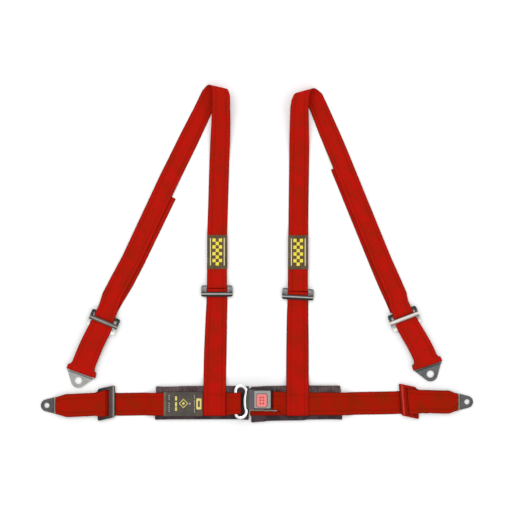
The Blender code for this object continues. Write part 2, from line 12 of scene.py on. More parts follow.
import bmesh
import bpy
from mathutils import Matrix, Vector, noise

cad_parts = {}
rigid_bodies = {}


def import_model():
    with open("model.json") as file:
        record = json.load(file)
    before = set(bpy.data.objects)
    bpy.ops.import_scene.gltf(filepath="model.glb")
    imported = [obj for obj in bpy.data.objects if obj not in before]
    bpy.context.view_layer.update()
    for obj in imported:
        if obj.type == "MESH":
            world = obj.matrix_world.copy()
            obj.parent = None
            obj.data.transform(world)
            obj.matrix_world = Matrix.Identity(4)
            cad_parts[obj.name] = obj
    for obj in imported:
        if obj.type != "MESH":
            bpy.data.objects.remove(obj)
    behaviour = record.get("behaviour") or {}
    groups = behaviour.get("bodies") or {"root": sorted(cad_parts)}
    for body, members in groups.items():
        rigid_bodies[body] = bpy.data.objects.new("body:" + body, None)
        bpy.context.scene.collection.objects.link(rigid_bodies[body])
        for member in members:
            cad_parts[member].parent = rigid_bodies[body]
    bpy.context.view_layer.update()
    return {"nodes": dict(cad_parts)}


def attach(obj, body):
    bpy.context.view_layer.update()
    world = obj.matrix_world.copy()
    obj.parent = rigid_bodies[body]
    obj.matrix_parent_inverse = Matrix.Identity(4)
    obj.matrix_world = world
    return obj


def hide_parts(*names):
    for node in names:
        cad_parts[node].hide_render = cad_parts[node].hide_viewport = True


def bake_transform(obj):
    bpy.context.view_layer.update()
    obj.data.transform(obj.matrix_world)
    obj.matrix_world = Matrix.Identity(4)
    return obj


for old in list(bpy.data.objects):
    bpy.data.objects.remove(old, do_unlink=True)

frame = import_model()
nodes = frame["nodes"]
scene = bpy.context.scene

MM = 0.001
BUCKLE_AXIS_Y = -0.32914  # row frame Y of the drawing's origin, in metres

GAP = 0.3  # between neighbouring layers
WEB = 1.5  # thickness of the webbing
PLATE = 3.0  # thickness of the adjusters and sliders
LAP_WIDTH = 50.0
LOWER_WIDTH = 49.5
UPPER_WIDTH = 43.5
WINDOW_WIDTH = 57.0  # of the lap webbing, spread inside a lap slider
PAD_TOP = 7.0
BAR_Z = 5.1  # middle of a bolt plate's bar
BAR_WRAP = 4.05  # radius of webbing round that bar, or round the buckle's belt bar
FRAME_WRAP = (PLATE + 2 * GAP + WEB) / 2  # radius of webbing round a slider's flat bar
FOLD_RADIUS = 14.0
ADJUSTER_BAR_IN, ADJUSTER_BAR_OUT = 8.75, 12.25  # edges of the adjusters' upper bar
WEAVE_UV, EDGE_UV = "weave", "band"

# Where each piece of hardware lies: its middle, and the direction it points in, in degrees
ADJUSTERS = {"left": ((-87.5, 247.0), 90.0), "right": ((89.7, 240.3), 87.0)}
REAR_SLIDERS = {"left": ((-335.7, 179.5), -112.6), "right": ((322.6, 186.8), -69.0)}
REAR_BARS = {"left": ((-383.9, 71.5), -109.5), "right": ((372.5, 87.7), -71.5)}
LAP_SLIDERS = {"left": ((-329.5, 1.9), 180.0), "right": ((332.6, 5.8), 4.5)}
LAP_BARS = {"left": ((-436.0, -3.5), 180.0), "right": ((436.0, 4.2), 0.0)}
SIDES = ("left", "right")


def world(x, y, z=0.0):
    return Vector((x * MM, y * MM + BUCKLE_AXIS_Y, z * MM))


def assign(target, **settings):
    for key, value in settings.items():
        setattr(target, key, value)
    return target


def new_object(name, data):
    made = bpy.data.objects.new(name, data)
    scene.collection.objects.link(made)
    return made


def layer(number):
    """Middle height of a flat webbing layer."""
    return GAP + WEB / 2 + number * (WEB + GAP)


ON_PAD = PAD_TOP + GAP + WEB / 2
OVER_LAP = ON_PAD + WEB + GAP


# ---- materials


class Graph:
    """Builds a material's nodes. A value may be a number, a colour or another node's output."""

    def __init__(self, name, **surface):
        self.material = bpy.data.materials.new(name)
        self.material.use_nodes = True
        self.tree = self.material.node_tree
        self.tree.nodes.clear()
        self.surface = self.add("ShaderNodeBsdfPrincipled")
        output = self.add("ShaderNodeOutputMaterial")
        self.tree.links.new(self.surface.outputs[0], output.inputs["Surface"])
        self.set(**surface)

    def add(self, kind, inputs=None, **settings):
        node = assign(self.tree.nodes.new(kind), **settings)
        for key, value in (inputs or {}).items():
            self.put(node.inputs[key], value)
        return node

    def put(self, socket, value):
        if isinstance(value, bpy.types.NodeSocket):
            self.tree.links.new(value, socket)
        elif isinstance(value, tuple) and len(value) == 3 and socket.type == "RGBA":
            socket.default_value = (*value, 1.0)
        else:
            socket.default_value = value

    def set(self, **inputs):
        names = {
            "color": "Base Color", "specular": "Specular IOR Level", "sheen": "Sheen Weight",
            "subsurface": "Subsurface Weight",
        }
        for key, value in inputs.items():
            self.put(self.surface.inputs[names.get(key, key.replace("_", " ").title())], value)
        return self

    def math(self, operation, a, b=0.0):
        return self.add("ShaderNodeMath", {0: a, 1: b}, operation=operation).outputs[0]

    def ramp(self, value, low, high, to_low=0.0, to_high=1.0):
        """value from low..high to to_low..to_high, smoothly and clamped."""
        node = self.add(
            "ShaderNodeMapRange", {0: value, 1: low, 2: high, 3: to_low, 4: to_high},
            interpolation_type="SMOOTHSTEP",
        )
        return node.outputs[0]

    def mix(self, factor, a, b, blend="MIX"):
        node = self.add("ShaderNodeMix", {0: factor, 6: a, 7: b}, data_type="RGBA", blend_type=blend)
        return node.outputs[2]

    def noise(self, scale, detail=3.0, vector=None):
        inputs = {"Vector": vector or self.object_coords(), "Scale": scale, "Detail": detail, "Roughness": 0.55}
        return self.add("ShaderNodeTexNoise", inputs).outputs[0]

    def object_coords(self):
        return self.add("ShaderNodeTexCoord").outputs["Object"]

    def stretched(self, x, y, z):
        """Object coordinates scaled along each axis."""
        inputs = {0: self.object_coords(), 1: Vector((x, y, z))}
        return self.add("ShaderNodeVectorMath", inputs, operation="MULTIPLY").outputs[0]

    def bands(self, target, place, stops):
        """Colours in bands across a piece: stops are (mm along the place's direction, colour)."""
        (px, py), angle = place
        turn = math.radians(angle)
        way = Vector((math.cos(turn), math.sin(turn), 0))
        matrix = target.matrix_world
        local_way = matrix.to_3x3().transposed() @ way
        shift = way.dot(matrix.translation - world(px, py))
        first, last = stops[0][0] * MM, stops[-1][0] * MM
        along = self.add("ShaderNodeVectorMath", {0: self.object_coords(), 1: local_way}, operation="DOT_PRODUCT")
        spread = self.math("MULTIPLY", self.math("ADD", along.outputs["Value"], shift - first), 1 / (last - first))
        ramp = self.add("ShaderNodeValToRGB", {0: spread})
        for _ in range(len(stops) - 2):
            ramp.color_ramp.elements.new(0.5)
        for element, (at, colour) in zip(ramp.color_ramp.elements, stops):
            element.position = (at * MM - first) / (last - first)
            element.color = (*colour, 1.0)
        return ramp.outputs[0]

    def uv(self, name):
        found = self.add("ShaderNodeUVMap", uv_map=name)
        return self.add("ShaderNodeSeparateXYZ", {0: found.outputs[0]}).outputs

    def bump(self, height, distance, strength=1.0, normal=None):
        inputs = {"Height": height, "Distance": distance, "Strength": strength}
        if normal:
            inputs["Normal"] = normal
        return self.add("ShaderNodeBump", inputs).outputs[0]


def webbing_material(name, light, deep, edge, blotch):
    """Woven webbing: warp cords crossed by picks, with painted shade in the weave's hollows, along a groove near
    each selvedge, at the selvedges and at the cut end.
    """
    g = Graph(name, roughness=0.85, specular=0.03, sheen=0.01, sheen_roughness=0.4)
    across, along, _ = g.uv(WEAVE_UV)
    from_edge, from_end, _ = g.uv(EDGE_UV)
    cord_pitch, pick_pitch = 0.0014, 0.0019
    cords = g.math("MULTIPLY", across, 1 / cord_pitch)
    cord = g.math("ABSOLUTE", g.math("SINE", g.math("MULTIPLY", cords, math.pi)))
    offset = g.math("MULTIPLY", g.math("FLOOR", cords), 0.5)
    picks = g.math("ADD", g.math("MULTIPLY", along, 1 / pick_pitch), offset)
    pick = g.math("SINE", g.math("MULTIPLY", picks, 2 * math.pi))
    weave = g.math("MULTIPLY", cord, g.math("MULTIPLY_ADD", pick, 0.28))
    weave_height = g.math("ADD", g.math("MULTIPLY", cord, 0.72), weave)
    large = g.noise(34.0, 3.0)
    streak = g.noise(1.0, 2.0, g.stretched(260.0, 40.0, 40.0))
    shade = g.math("ADD", g.math("MULTIPLY", large, 0.7), g.math("MULTIPLY", streak, 0.3))
    colour = g.mix(g.ramp(shade, 0.32, 0.68, 0.0, blotch), light, deep)
    # Painted shade: the weave's hollows darken towards the shade colour
    colour = g.mix(g.ramp(weave_height, 0.0, 0.9, 0.34, 0.0), colour, edge)
    # Painted shade along the groove that the profile cuts near each selvedge
    groove = g.math("ABSOLUTE", g.math("SUBTRACT", from_edge, 0.0094))
    colour = g.mix(g.ramp(groove, 0.0, 0.0034, 0.2, 0.0), colour, edge)
    # Painted shade at the selvedges and at the cut end
    colour = g.mix(g.ramp(from_edge, 0.0004, 0.0026, 0.66, 0.0), colour, edge)
    colour = g.mix(g.ramp(from_end, 0.0, 0.0022, 0.7, 0.0), colour, edge)
    fuzz = g.bump(g.noise(2600.0, 2.0), 0.00006, 0.35)
    g.set(color=colour, normal=g.bump(weave_height, 0.00022, 0.55, fuzz))
    return g.material


def thread_material(name, colour):
    g = Graph(name, roughness=0.75, specular=0.06)
    twist = g.add("ShaderNodeTexWave", {"Vector": g.object_coords(), "Scale": 900.0, "Distortion": 1.5})
    tint = g.mix(g.ramp(g.noise(420.0), 0.35, 0.65, 0.0, 0.4), colour, tuple(c * 0.55 for c in colour))
    g.set(color=tint, normal=g.bump(twist.outputs[1], 0.00008, 0.5))
    return g.material


def pad_material(name, colour, worn):
    """Dark woven cloth with lint on it, and painted shade in the weave's grooves."""
    g = Graph(name, roughness=0.86, specular=0.12, sheen=0.12, sheen_roughness=0.5)
    inputs = {"Vector": g.stretched(1.0, 0.35, 1.0), "Scale": 330.0, "Distortion": 0.6}
    weave = g.add("ShaderNodeTexWave", inputs, bands_direction="Y")
    warm = g.ramp(g.noise(55.0, 4.0), 0.36, 0.66)
    colour = g.mix(warm, colour, worn)
    # Painted shade: the weave's grooves darken towards near black
    colour = g.mix(g.ramp(weave.outputs[1], 0.0, 1.0, 0.45, 0.0), colour, (0.016, 0.013, 0.016))
    lint = g.ramp(g.noise(1400.0, 2.0), 0.66, 0.8, 0.0, 0.35)
    colour = g.mix(lint, colour, (0.22, 0.18, 0.19))
    bump = g.bump(weave.outputs[1], 0.00025, 0.5, g.bump(g.noise(1800.0), 0.0001, 0.4))
    g.set(color=colour, normal=bump)
    return g.material


def label_material(name, colour, deep):
    g = Graph(name, roughness=0.82, specular=0.15)
    inputs = {"Vector": g.object_coords(), "Scale": 620.0, "Distortion": 0.3}
    cross = g.add("ShaderNodeTexWave", inputs)
    warp = g.add("ShaderNodeTexWave", inputs, bands_direction="Y")
    weave = g.math("MULTIPLY", cross.outputs[1], warp.outputs[1])
    tint = g.mix(g.ramp(g.noise(70.0), 0.35, 0.65), colour, deep)
    # Painted shade: the weave's hollows darken towards half the deep colour
    tint = g.mix(g.ramp(weave, 0.0, 0.6, 0.35, 0.0), tint, tuple(c * 0.5 for c in deep))
    g.set(color=tint, normal=g.bump(weave, 0.00012, 0.6))
    return g.material


def metal_material(
    name, colour, roughness, speckle=0.0, scratch=0.35, metallic=1.0, warm=None, banded=None, specular=0.5,
):
    """Plated or coated metal: brushed grain, cloudy plating and small specks.

    banded is (piece, place, stops), for bands across a bar: painted highlights and painted shade, with the metal's
    own tone between.
    """
    g = Graph(name, metallic=metallic, specular=specular)
    cloud = g.noise(60.0, 4.0)
    grain = g.noise(1.0, 2.0, g.stretched(2400.0, 260.0, 900.0))
    if banded:
        base = g.bands(*banded)
        worn = g.mix(1.0, base, (0.72, 0.72, 0.72), "MULTIPLY")
        tint = g.mix(g.ramp(cloud, 0.34, 0.66, 0.0, 0.45), base, worn)
    else:
        tint = g.mix(g.ramp(cloud, 0.34, 0.66, 0.0, 0.55), colour, warm or tuple(c * 0.7 for c in colour))
    if speckle:
        specks = g.ramp(g.noise(1500.0, 1.0), 0.6, 0.68, 0.0, speckle)
        tint = g.mix(specks, tint, tuple(min(1.0, c * 2.6 + 0.05) for c in colour))
    rough = g.math("ADD", g.ramp(cloud, 0.3, 0.7, roughness * 0.8, roughness * 1.2),
                   g.math("MULTIPLY", grain, scratch * 0.2))
    g.set(color=tint, roughness=rough, normal=g.bump(grain, 0.00005, scratch))
    return g.material


def plastic_material(name, colour, roughness, tint=None, grain=0.3, subsurface=0.0):
    g = Graph(name, roughness=roughness, specular=0.4, subsurface=subsurface)
    mottle = g.ramp(g.noise(85.0, 3.0), 0.35, 0.65)
    g.set(color=g.mix(mottle, colour, tint or tuple(c * 0.85 for c in colour)),
          normal=g.bump(g.noise(2100.0, 2.0), 0.00005, grain))
    return g.material


NEAR_BLACK = (0.012, 0.013, 0.013)
# The colour that the webbing's painted shade darkens towards
SHADE_RED = (0.085, 0.0035, 0.002)
RED = webbing_material("red_webbing", (0.49, 0.007, 0.0032), (0.27, 0.014, 0.0022), SHADE_RED, 0.62)
RED_LAP = webbing_material("red_webbing_lap", (0.405, 0.007, 0.0014), (0.22, 0.017, 0.001), SHADE_RED, 0.68)
RED_THREAD = thread_material("red_thread", (0.34, 0.007, 0.003))
YELLOW_THREAD = thread_material("label_yellow_thread", (0.88, 0.72, 0.085))
SOFT_YELLOW = thread_material("label_soft_yellow_thread", (0.76, 0.66, 0.2))
PALE_THREAD = thread_material("label_thread", (0.78, 0.72, 0.42))
HEM_THREAD = thread_material("label_hem_thread", (0.1, 0.09, 0.075))
GREY_THREAD = thread_material("label_grey_thread", (0.34, 0.31, 0.27))
PAD = pad_material("pad_cloth", (0.032, 0.02, 0.024), (0.075, 0.045, 0.05))
# The pad's cloth made paler for the ribs: a painted highlight on them
PAD_RIB_HIGHLIT = pad_material("pad_rib_cloth_painted_highlight", (0.108, 0.066, 0.07), (0.2, 0.13, 0.132))
LABEL = label_material("label_cloth", (0.15, 0.105, 0.05), (0.09, 0.062, 0.034))
LAP_LABEL = label_material("lap_label_cloth", (0.104, 0.094, 0.07), (0.082, 0.07, 0.066))
LABEL_BORDER = label_material("label_border", (0.2, 0.145, 0.1), (0.15, 0.11, 0.08))
DARK_STEEL = metal_material("dark_steel", (0.105, 0.098, 0.1), 0.36, speckle=0.25)
GREY_STEEL = metal_material("grey_steel", (0.125, 0.13, 0.134), 0.42, speckle=0.2)
SILVER = metal_material("silver_steel", (0.38, 0.38, 0.36), 0.36, speckle=0.1)
BRIGHT_STEEL = metal_material("bright_steel", (0.345, 0.34, 0.325), 0.36, warm=(0.255, 0.265, 0.24))
CHROME = metal_material("chrome", (0.96, 0.975, 0.97), 0.12, scratch=0.05, warm=(0.9, 0.92, 0.91))
DIMPLE_PLASTIC = plastic_material("button_dimples", (0.66, 0.045, 0.05), 0.5)
BUTTON_PLASTIC = plastic_material("button_plastic", (0.86, 0.2, 0.205), 0.32, (0.79, 0.23, 0.2), 0.1, 0.15)


# ---- mesh helpers


def piece(name, bm, materials, body=None, smooth=True):
    """A new object from a bmesh in drawing millimetres. It rides on body, if one is given."""
    bmesh.ops.recalc_face_normals(bm, faces=bm.faces)
    for vert in bm.verts:
        vert.co = world(*vert.co)
    mesh = bpy.data.meshes.new(name)
    bm.to_mesh(mesh)
    bm.free()
    for finish in materials:
        mesh.materials.append(finish)
    if smooth:
        mesh.shade_smooth()
    made = new_object(name, mesh)
    if body:
        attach(made, body)
    return made


def soften_edges(target, width, segments=3):
    """Rounds the edges that turn by more than 32 degrees. width is in millimetres."""
    assign(
        target.modifiers.new("soft_edges", "BEVEL"), width=width * MM, segments=segments,
        limit_method="ANGLE", angle_limit=math.radians(32.0), harden_normals=True,
    )
    assign(target.modifiers.new("weighted_normals", "WEIGHTED_NORMAL"), keep_sharp=True)


def refinish(node, finish, width=0.7, segments=3):
    """Gives a CAD node its finish and soft edges; a banded finish carries painted highlights and painted shade."""
    target = nodes[node]
    target.data.materials.clear()
    target.data.materials.append(finish)
    target.data.shade_smooth()
    if width:
        soften_edges(target, width, segments)


def apply_modifier(target, kind, **settings):
    bpy.ops.object.select_all(action="DESELECT")
    target.select_set(True)
    bpy.context.view_layer.objects.active = target
    added = assign(target.modifiers.new("applied", kind), **settings)
    bpy.ops.object.modifier_apply(modifier=added.name)


def skin(bm, rings, material_index=0, capped=True):
    """Faces between rings of as many points each, closed at both ends."""
    count = len(rings[0])
    for near, far in zip(rings, rings[1:] if capped else rings[1:] + rings[:1]):
        for i in range(count):
            j = (i + 1) % count
            bm.faces.new((near[i], near[j], far[j], far[i])).material_index = material_index
    if capped:
        bm.faces.new(rings[0][::-1]).material_index = material_index
        bm.faces.new(rings[-1]).material_index = material_index


def slab(bm, x0, x1, y0, y1, z0, z1, index, round_by, steps=3, place=None):
    """A thin plate with round corners, for woven fields and label cloth."""
    ring = []
    for cx, cy, start in ((x1, y1, 0), (x0, y1, 90), (x0, y0, 180), (x1, y0, 270)):
        mx = cx + round_by * (-1 if cx == x1 else 1)
        my = cy + round_by * (-1 if cy == y1 else 1)
        for i in range(steps + 1):
            turn = math.radians(start + 90 * i / steps)
            ring.append((mx + round_by * math.cos(turn), my + round_by * math.sin(turn)))
    spot = place or Matrix.Identity(4)
    inset = min(0.12, (z1 - z0) * 0.4)
    middle_x, middle_y = (x0 + x1) / 2, (y0 + y1) / 2
    shrink_x, shrink_y = 1 - 2 * inset / (x1 - x0), 1 - 2 * inset / (y1 - y0)
    levels = ((z0, 1, 1), (z1 - inset, 1, 1), (z1, shrink_x, shrink_y))
    skin(bm, [
        [
            bm.verts.new(spot @ Vector((middle_x + (x - middle_x) * sx, middle_y + (y - middle_y) * sy, z)))
            for x, y in ring
        ]
        for z, sx, sy in levels
    ], index)


STITCH = ((0.0, -0.35, 0.35), (0.12, 0.12, 0.85), (0.5, 0.25, 1.0), (0.88, 0.12, 0.85), (1.0, -0.35, 0.35))


def capsule(bm, start, end, normal, radius, material_index, sides=6):
    """One stitch: a thread that rises from the cloth, runs along it and dips in again."""
    along = end - start
    side = along.cross(normal).normalized()
    rings = []
    for t, lift, size in STITCH:
        centre = start + along * t + normal * radius * lift
        ring = []
        for i in range(sides):
            turn = 2 * math.pi * i / sides
            reach = side * math.cos(turn) + normal * 0.8 * math.sin(turn)
            ring.append(bm.verts.new(centre + reach * radius * size))
        rings.append(ring)
    skin(bm, rings, material_index)


# ---- webbing


class Strap:
    """Webbing along stations, each (x, y, z, width, cross-line angle in degrees)."""

    def __init__(self, stations, passes=3, wave=0.15, nominal=0.0, seed=0):
        self.wave, self.nominal, self.seed = wave, nominal, seed
        fine, self.marks = [], []  # points about 1 mm apart, and where each station is among them
        for x, y, z, width, angle in stations:
            turn = math.radians(angle)
            here = (Vector((x, y, z)), Vector((math.cos(turn), math.sin(turn), 0)), width)
            last = fine[-1] if fine else here
            count = max(1, round((here[0] - last[0]).length))
            for i in range(1, count + 1):
                t = i / count
                fine.append(tuple(a + (b - a) * t for a, b in zip(last, here)))
            self.marks.append(len(fine) - 1)
        for _ in range(passes):
            fine = [fine[0]] + [
                tuple((p + q * 2 + r) / 4 for p, q, r in zip(a, b, c)) for a, b, c in zip(fine, fine[1:], fine[2:])
            ] + [fine[-1]]
        travelled = [0.0]
        for a, b in zip(fine, fine[1:]):
            travelled.append(travelled[-1] + (b[0] - a[0]).length)
        self.marks = [travelled[m] for m in self.marks]
        self.length = travelled[-1]

        # Rows of the mesh: every 4 mm on a straight run, and closer where it bends
        self.rows = []
        kept_at, kept_way = 0.0, None
        for i, (centre, side, width) in enumerate(fine):
            near, far = fine[max(i - 1, 0)][0], fine[min(i + 1, len(fine) - 1)][0]
            way = (far - near).normalized()
            side = side.normalized()
            last = i == len(fine) - 1
            if not self.rows or last or travelled[i] - kept_at > 4.0 or way.angle(kept_way) > 0.14:
                normal = side.cross(way).normalized()
                self.rows.append((centre, side, normal, width, travelled[i]))
                kept_at, kept_way = travelled[i], way

    def swell(self, across, v, width, up):
        """How far the cloth stands off its middle surface: slow waves, and a crown where it bunches."""
        u = 2 * across / width
        crown = max(0.0, self.nominal - width) * 0.5 * (1 - u * u) * up
        slow = noise.noise(Vector((v * 0.016, self.seed * 7.3, across * 0.012)))
        ripple = noise.noise(Vector((v * 0.055, self.seed * 3.1 + 5.0, across * 0.05)))
        return crown + self.wave * (slow * 0.7 + ripple * 0.5)

    def point(self, u, v):
        """A point on the strap's upper face, and its normal. u is across and v is along, in mm."""
        rows = self.rows
        index = 0
        while index < len(rows) - 2 and rows[index + 1][4] < v:
            index += 1
        a, b = rows[index], rows[index + 1]
        t = min(1.0, max(0.0, (v - a[4]) / max(b[4] - a[4], 1e-6)))
        centre, side, normal, width = (a[k] + (b[k] - a[k]) * t for k in range(4))
        return centre + side * u + normal * (WEB / 2 + self.swell(u, v, width, normal.z)), normal.normalized()

    def profile(self, width):
        """(distance across, half thickness) from one selvedge to the other."""
        half = width / 2
        edge = [(0.0, 0.0), (0.15, 0.42), (0.5, 0.68), (1.1, 0.8), (1.8, 0.8), (2.5, 0.69)]
        middle = []
        for groove in (-0.6, -0.2, 0.2, 0.6):
            at = groove * half
            middle += [(at - 4.0, 0.75), (at - 0.9, 0.73), (at, 0.6), (at + 0.9, 0.73)]
        middle += [(0.6 * half + 4.0, 0.75)]
        left = [(d - half, h) for d, h in edge]
        right = [(half - d, h) for d, h in reversed(edge)]
        return left + [(u, h) for u, h in middle if abs(u) < half - 3] + right

    def build(self, name, body, replaced, seams=(), finish=RED):
        """The strap as a piece that takes the place of the replaced CAD nodes."""
        bm = bmesh.new()
        weave = bm.loops.layers.uv.new(WEAVE_UV)
        band = bm.loops.layers.uv.new(EDGE_UV)
        facts = {}
        rings = []
        narrowest = min(row[3] for row in self.rows)
        shape = self.profile(LAP_WIDTH if narrowest > 48 else narrowest)
        outline = shape + [(u, -thick) for u, thick in reversed(shape[1:-1])]
        base = -shape[0][0]
        selvedge = 3.0  # keeps its size, while the rest of the profile is stretched to the row's width
        for centre, side, normal, width, v in self.rows:
            ring = []
            reach = width / 2
            end = min(v, self.length - v)
            for u, thick in outline:
                edge_gap = base - abs(u)
                if edge_gap < selvedge:
                    at = math.copysign(reach - edge_gap, u)
                else:
                    at = u * (reach - selvedge) / (base - selvedge)
                off = thick + self.swell(at, v, width, normal.z)
                wobble = 0.12 * noise.noise(Vector((v * 0.09, self.seed, 9.0 if u > 0 else 2.0)))
                vert = bm.verts.new(centre + side * (at + wobble) + normal * off)
                facts[vert] = ((at * MM, v * MM), (max(reach - abs(at), 0.0) * MM, end * MM))
                ring.append(vert)
            rings.append(ring)
        skin(bm, rings)
        for face in bm.faces:
            for loop in face.loops:
                loop[weave].uv, loop[band].uv = facts[loop.vert]
        for seam in seams:
            self.sew(bm, seam)
        made = piece(name, bm, [finish, RED_THREAD], body)
        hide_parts(*replaced)
        return made

    def sew(self, bm, seam, pitch=3.4, stitch=2.5, radius=0.36):
        """Stitches along a polyline of (across, along) corners on the upper face."""
        for (u0, v0), (u1, v1) in zip(seam, seam[1:]):
            run = math.hypot(u1 - u0, v1 - v0)
            count = max(1, int(run / pitch))
            for i in range(count):
                t0, t1 = i / count, i / count + stitch / run
                start, normal = self.point(u0 + (u1 - u0) * t0, v0 + (v1 - v0) * t0)
                end, _ = self.point(u0 + (u1 - u0) * t1, v0 + (v1 - v0) * t1)
                capsule(bm, start, end, normal, radius, 1)


def box_seam(u0, u1, v0, v1, crossed=True):
    """A sewn rectangle, with both diagonals if it is crossed."""
    seams = [[(u0, v0), (u1, v0), (u1, v1), (u0, v1), (u0, v0)]]
    if crossed:
        seams += [[(u0, v0), (u1, v1)], [(u1, v0), (u0, v1)]]
    return seams


def local(place, points, skew=0):
    """Stations from (x, y, z, width) in a place's own frame: x runs along the strap and y across it."""
    (px, py), angle = place
    along, up = math.cos(math.radians(angle)), math.sin(math.radians(angle))
    return [
        (px + x * along - y * up, py + x * up + y * along, z, width, angle + 90 + skew) for x, y, z, width in points
    ]


def turn_points(x, z, radius, start, end, steps=8):
    """(x, z) along an arc from start to end, in degrees."""
    turns = [math.radians(start + (end - start) * i / steps) for i in range(steps + 1)]
    return [(x + radius * math.cos(t), z + radius * math.sin(t)) for t in turns]


def lap_webbing_left():
    """From the lap slider over the pad, round the tongue's bar and back on itself."""
    bar_x, bar_z, turn = -38.6, 18.2, 2.95
    path = [(-374, layer(0), -3.3, 50), (-356, layer(0), -1.6, 50), (-346, layer(0), 0.6, WINDOW_WIDTH)]
    path += [(-320, layer(0), 1.0, WINDOW_WIDTH + 1.5), (-311, layer(0), -1.2, 50), (-300, layer(0), -1.5, 50)]
    path += [(-247, layer(0), -0.6, 50), (-228, ON_PAD, -0.4, 50), (-118, ON_PAD, 0, 50), (-66, ON_PAD, 0, 50)]
    path += [(-46, bar_z - turn, 2.5, 47)]
    path += [(x, z, 3, 47) for x, z in turn_points(bar_x, bar_z, turn, -90, 90)]
    path += [(-50.5, bar_z + turn, 2.5, 47), (-66.8, OVER_LAP + 1.4, 0, 50)]
    strap = Strap([(x, y, z, width, -90) for x, z, y, width in path], passes=2, wave=0.16, seed=1)
    seams = [[(-20, strap.length - inset), (20, strap.length - inset)] for inset in (4, 7.5)]
    strap.build("lap_strap_left", "left_half", ["lap_webbing_left"], seams, RED_LAP)


def lap_webbing_right():
    """From the lap slider over the pad, and round the buckle's belt bar."""
    bar_x, bar_z, bar_y, bar_width = 38.0, 15.8, 8.6, 40.6
    path = [(375, layer(0), 3.6, 50), (358, layer(0), 4.2, 50), (348, layer(0), 5.4, WINDOW_WIDTH)]
    path += [(322, layer(0), 6.0, WINDOW_WIDTH + 1.5), (312, layer(0), 2.8, 50), (300, layer(0), 2.0, 50)]
    path += [(214, layer(0), 0.6, 50), (195, ON_PAD, 0.4, 50), (116, ON_PAD, 0.4, 50), (61, ON_PAD, 0.8, 50)]
    path += [(54, ON_PAD + 3.6, 3.5, 47), (46, bar_z + 0.3, bar_y, bar_width)]
    path += [(x, z, bar_y, bar_width) for x, z in turn_points(bar_x, bar_z, BAR_WRAP, 60, 270)]
    path += [(45, bar_z - BAR_WRAP, bar_y, bar_width), (50, OVER_LAP + 0.1, bar_y, bar_width)]
    strap = Strap([(x, y, z, width, 90) for x, z, y, width in path], passes=2, wave=0.2, seed=2)
    strap.build("lap_strap_right", "right_half", ["lap_webbing_right"], (), RED_LAP)


def backing_flap():
    """The short webbing flap under the buckle."""
    stations = [(x, 0, ON_PAD, 50, 90) for x in (61, 20, -15)]
    strap = Strap(stations, wave=0.1, seed=3)
    seams = [[(-22, strap.length - 3), (22, strap.length - 3)]]
    strap.build("buckle_flap", "right_half", ["buckle_backing_flap"], seams, RED_LAP)


def lap_loop(side, wrap_x, side_step):
    """Round the lap slider's middle bar, out over its outer bar, round the bolt plate's bar and back."""
    low = layer(1)
    high = low + 2 * FRAME_WRAP
    slider, bar = LAP_SLIDERS[side], LAP_BARS[side]
    taper = -18 if side == "left" else -14.5
    beside_bar = [(-28, 50), (taper, 50), (-4, 41), (-1, 38.5)]
    low_heights = (low, low, low - 1.2, BAR_Z - BAR_WRAP)
    high_heights = (high - 0.3, high - 0.6, high - 0.5, BAR_Z + BAR_WRAP)
    turn = turn_points(wrap_x, low + FRAME_WRAP, FRAME_WRAP, 90, 270)
    stations = local(slider, [(x, 0, z, WINDOW_WIDTH + 1.5) for x, z in turn])
    stations += local(slider, [(x, side_step, low, w) for x, w in ((8, 62), (14.5, 60), (18.5, 51), (24, 50))])
    stations += local(bar, [(x, 0, z, w) for (x, w), z in zip(beside_bar, low_heights)])
    turn = turn_points(0, BAR_Z, BAR_WRAP, -90, 90)
    stations += local(bar, [(x, 0, z, 38.0 if abs(z - BAR_Z) > 3.3 else 34.5) for x, z in turn])
    stations += local(bar, [(x, 0, z, w) for (x, w), z in zip(beside_bar[::-1], high_heights[::-1])])
    stations += local(slider, [(x, side_step, high, w) for x, w in ((24, 50), (18.5, 51), (14.5, WINDOW_WIDTH))])
    stations += local(slider, [(wrap_x, 0, high, WINDOW_WIDTH)])
    strap = Strap(stations, passes=2, wave=0.18, seed=4 if side == "left" else 5)
    strap.build("lap_end_" + side, "lap_anchor_" + side, ["lap_loop_" + side], (), RED_LAP)


def lower_strap(side, line, seam_end):
    """Sewn over the lap webbing, then up to the adjuster: under its lower bar and over its middle bar."""
    lean = ADJUSTERS[side][1] - 90
    stations = []
    for x, y in line:
        width = LOWER_WIDTH - 3.2 * max(0.0, (y - 110) / 105)
        stations.append((x, y, OVER_LAP if y < 45 else layer(0), width, 0))
        if 0 < y < 45:
            stations.append((x, 62.0, layer(0), LOWER_WIDTH, 0))
    bottom = layer(1) + WEB / 2 + GAP
    over = bottom + PLATE + GAP + WEB / 2
    thread = [(-26, layer(0) + 0.2, 45.8), (-15, layer(1), 45.5), (-3.0, layer(1), 45.5), (-0.9, bottom + 1.0, 45.5)]
    thread += [(-0.4, over - 0.8, 45.5), (0.9, over, 45.5), (3.0, over, 45.5), (4.3, over - 0.8, 45.5)]
    thread += [(4.65, bottom + 1.0, 45.5), (5.2, layer(0) + 1.0, 47), (8.5, layer(0), 44), (85, layer(0), 43)]
    for x, z, width in thread:
        in_frame = abs(x) <= 8
        aside = 0 if in_frame else -x * math.tan(math.radians(lean))
        stations += local(ADJUSTERS[side], [(x, aside, z, width)], -180 - (0 if in_frame else lean))
    strap = Strap(stations, passes=2, wave=0.16, seed=6 if side == "left" else 7)
    edge = 21.0
    seam_start = strap.marks[3] + 12
    seams = box_seam(-edge, edge, 3.5, 48, crossed=False) + [[(-edge, 7), (edge, 7)], [(-edge, 44.5), (edge, 44.5)]]
    seams += [[(-edge, seam_start), (-edge, seam_end), (edge, seam_end), (edge, seam_start)]]
    replaced = ["shoulder_webbing_lower_" + side, "adjuster_bight_" + side]
    made = strap.build("shoulder_lower_" + side, None, replaced, seams)
    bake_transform(made)


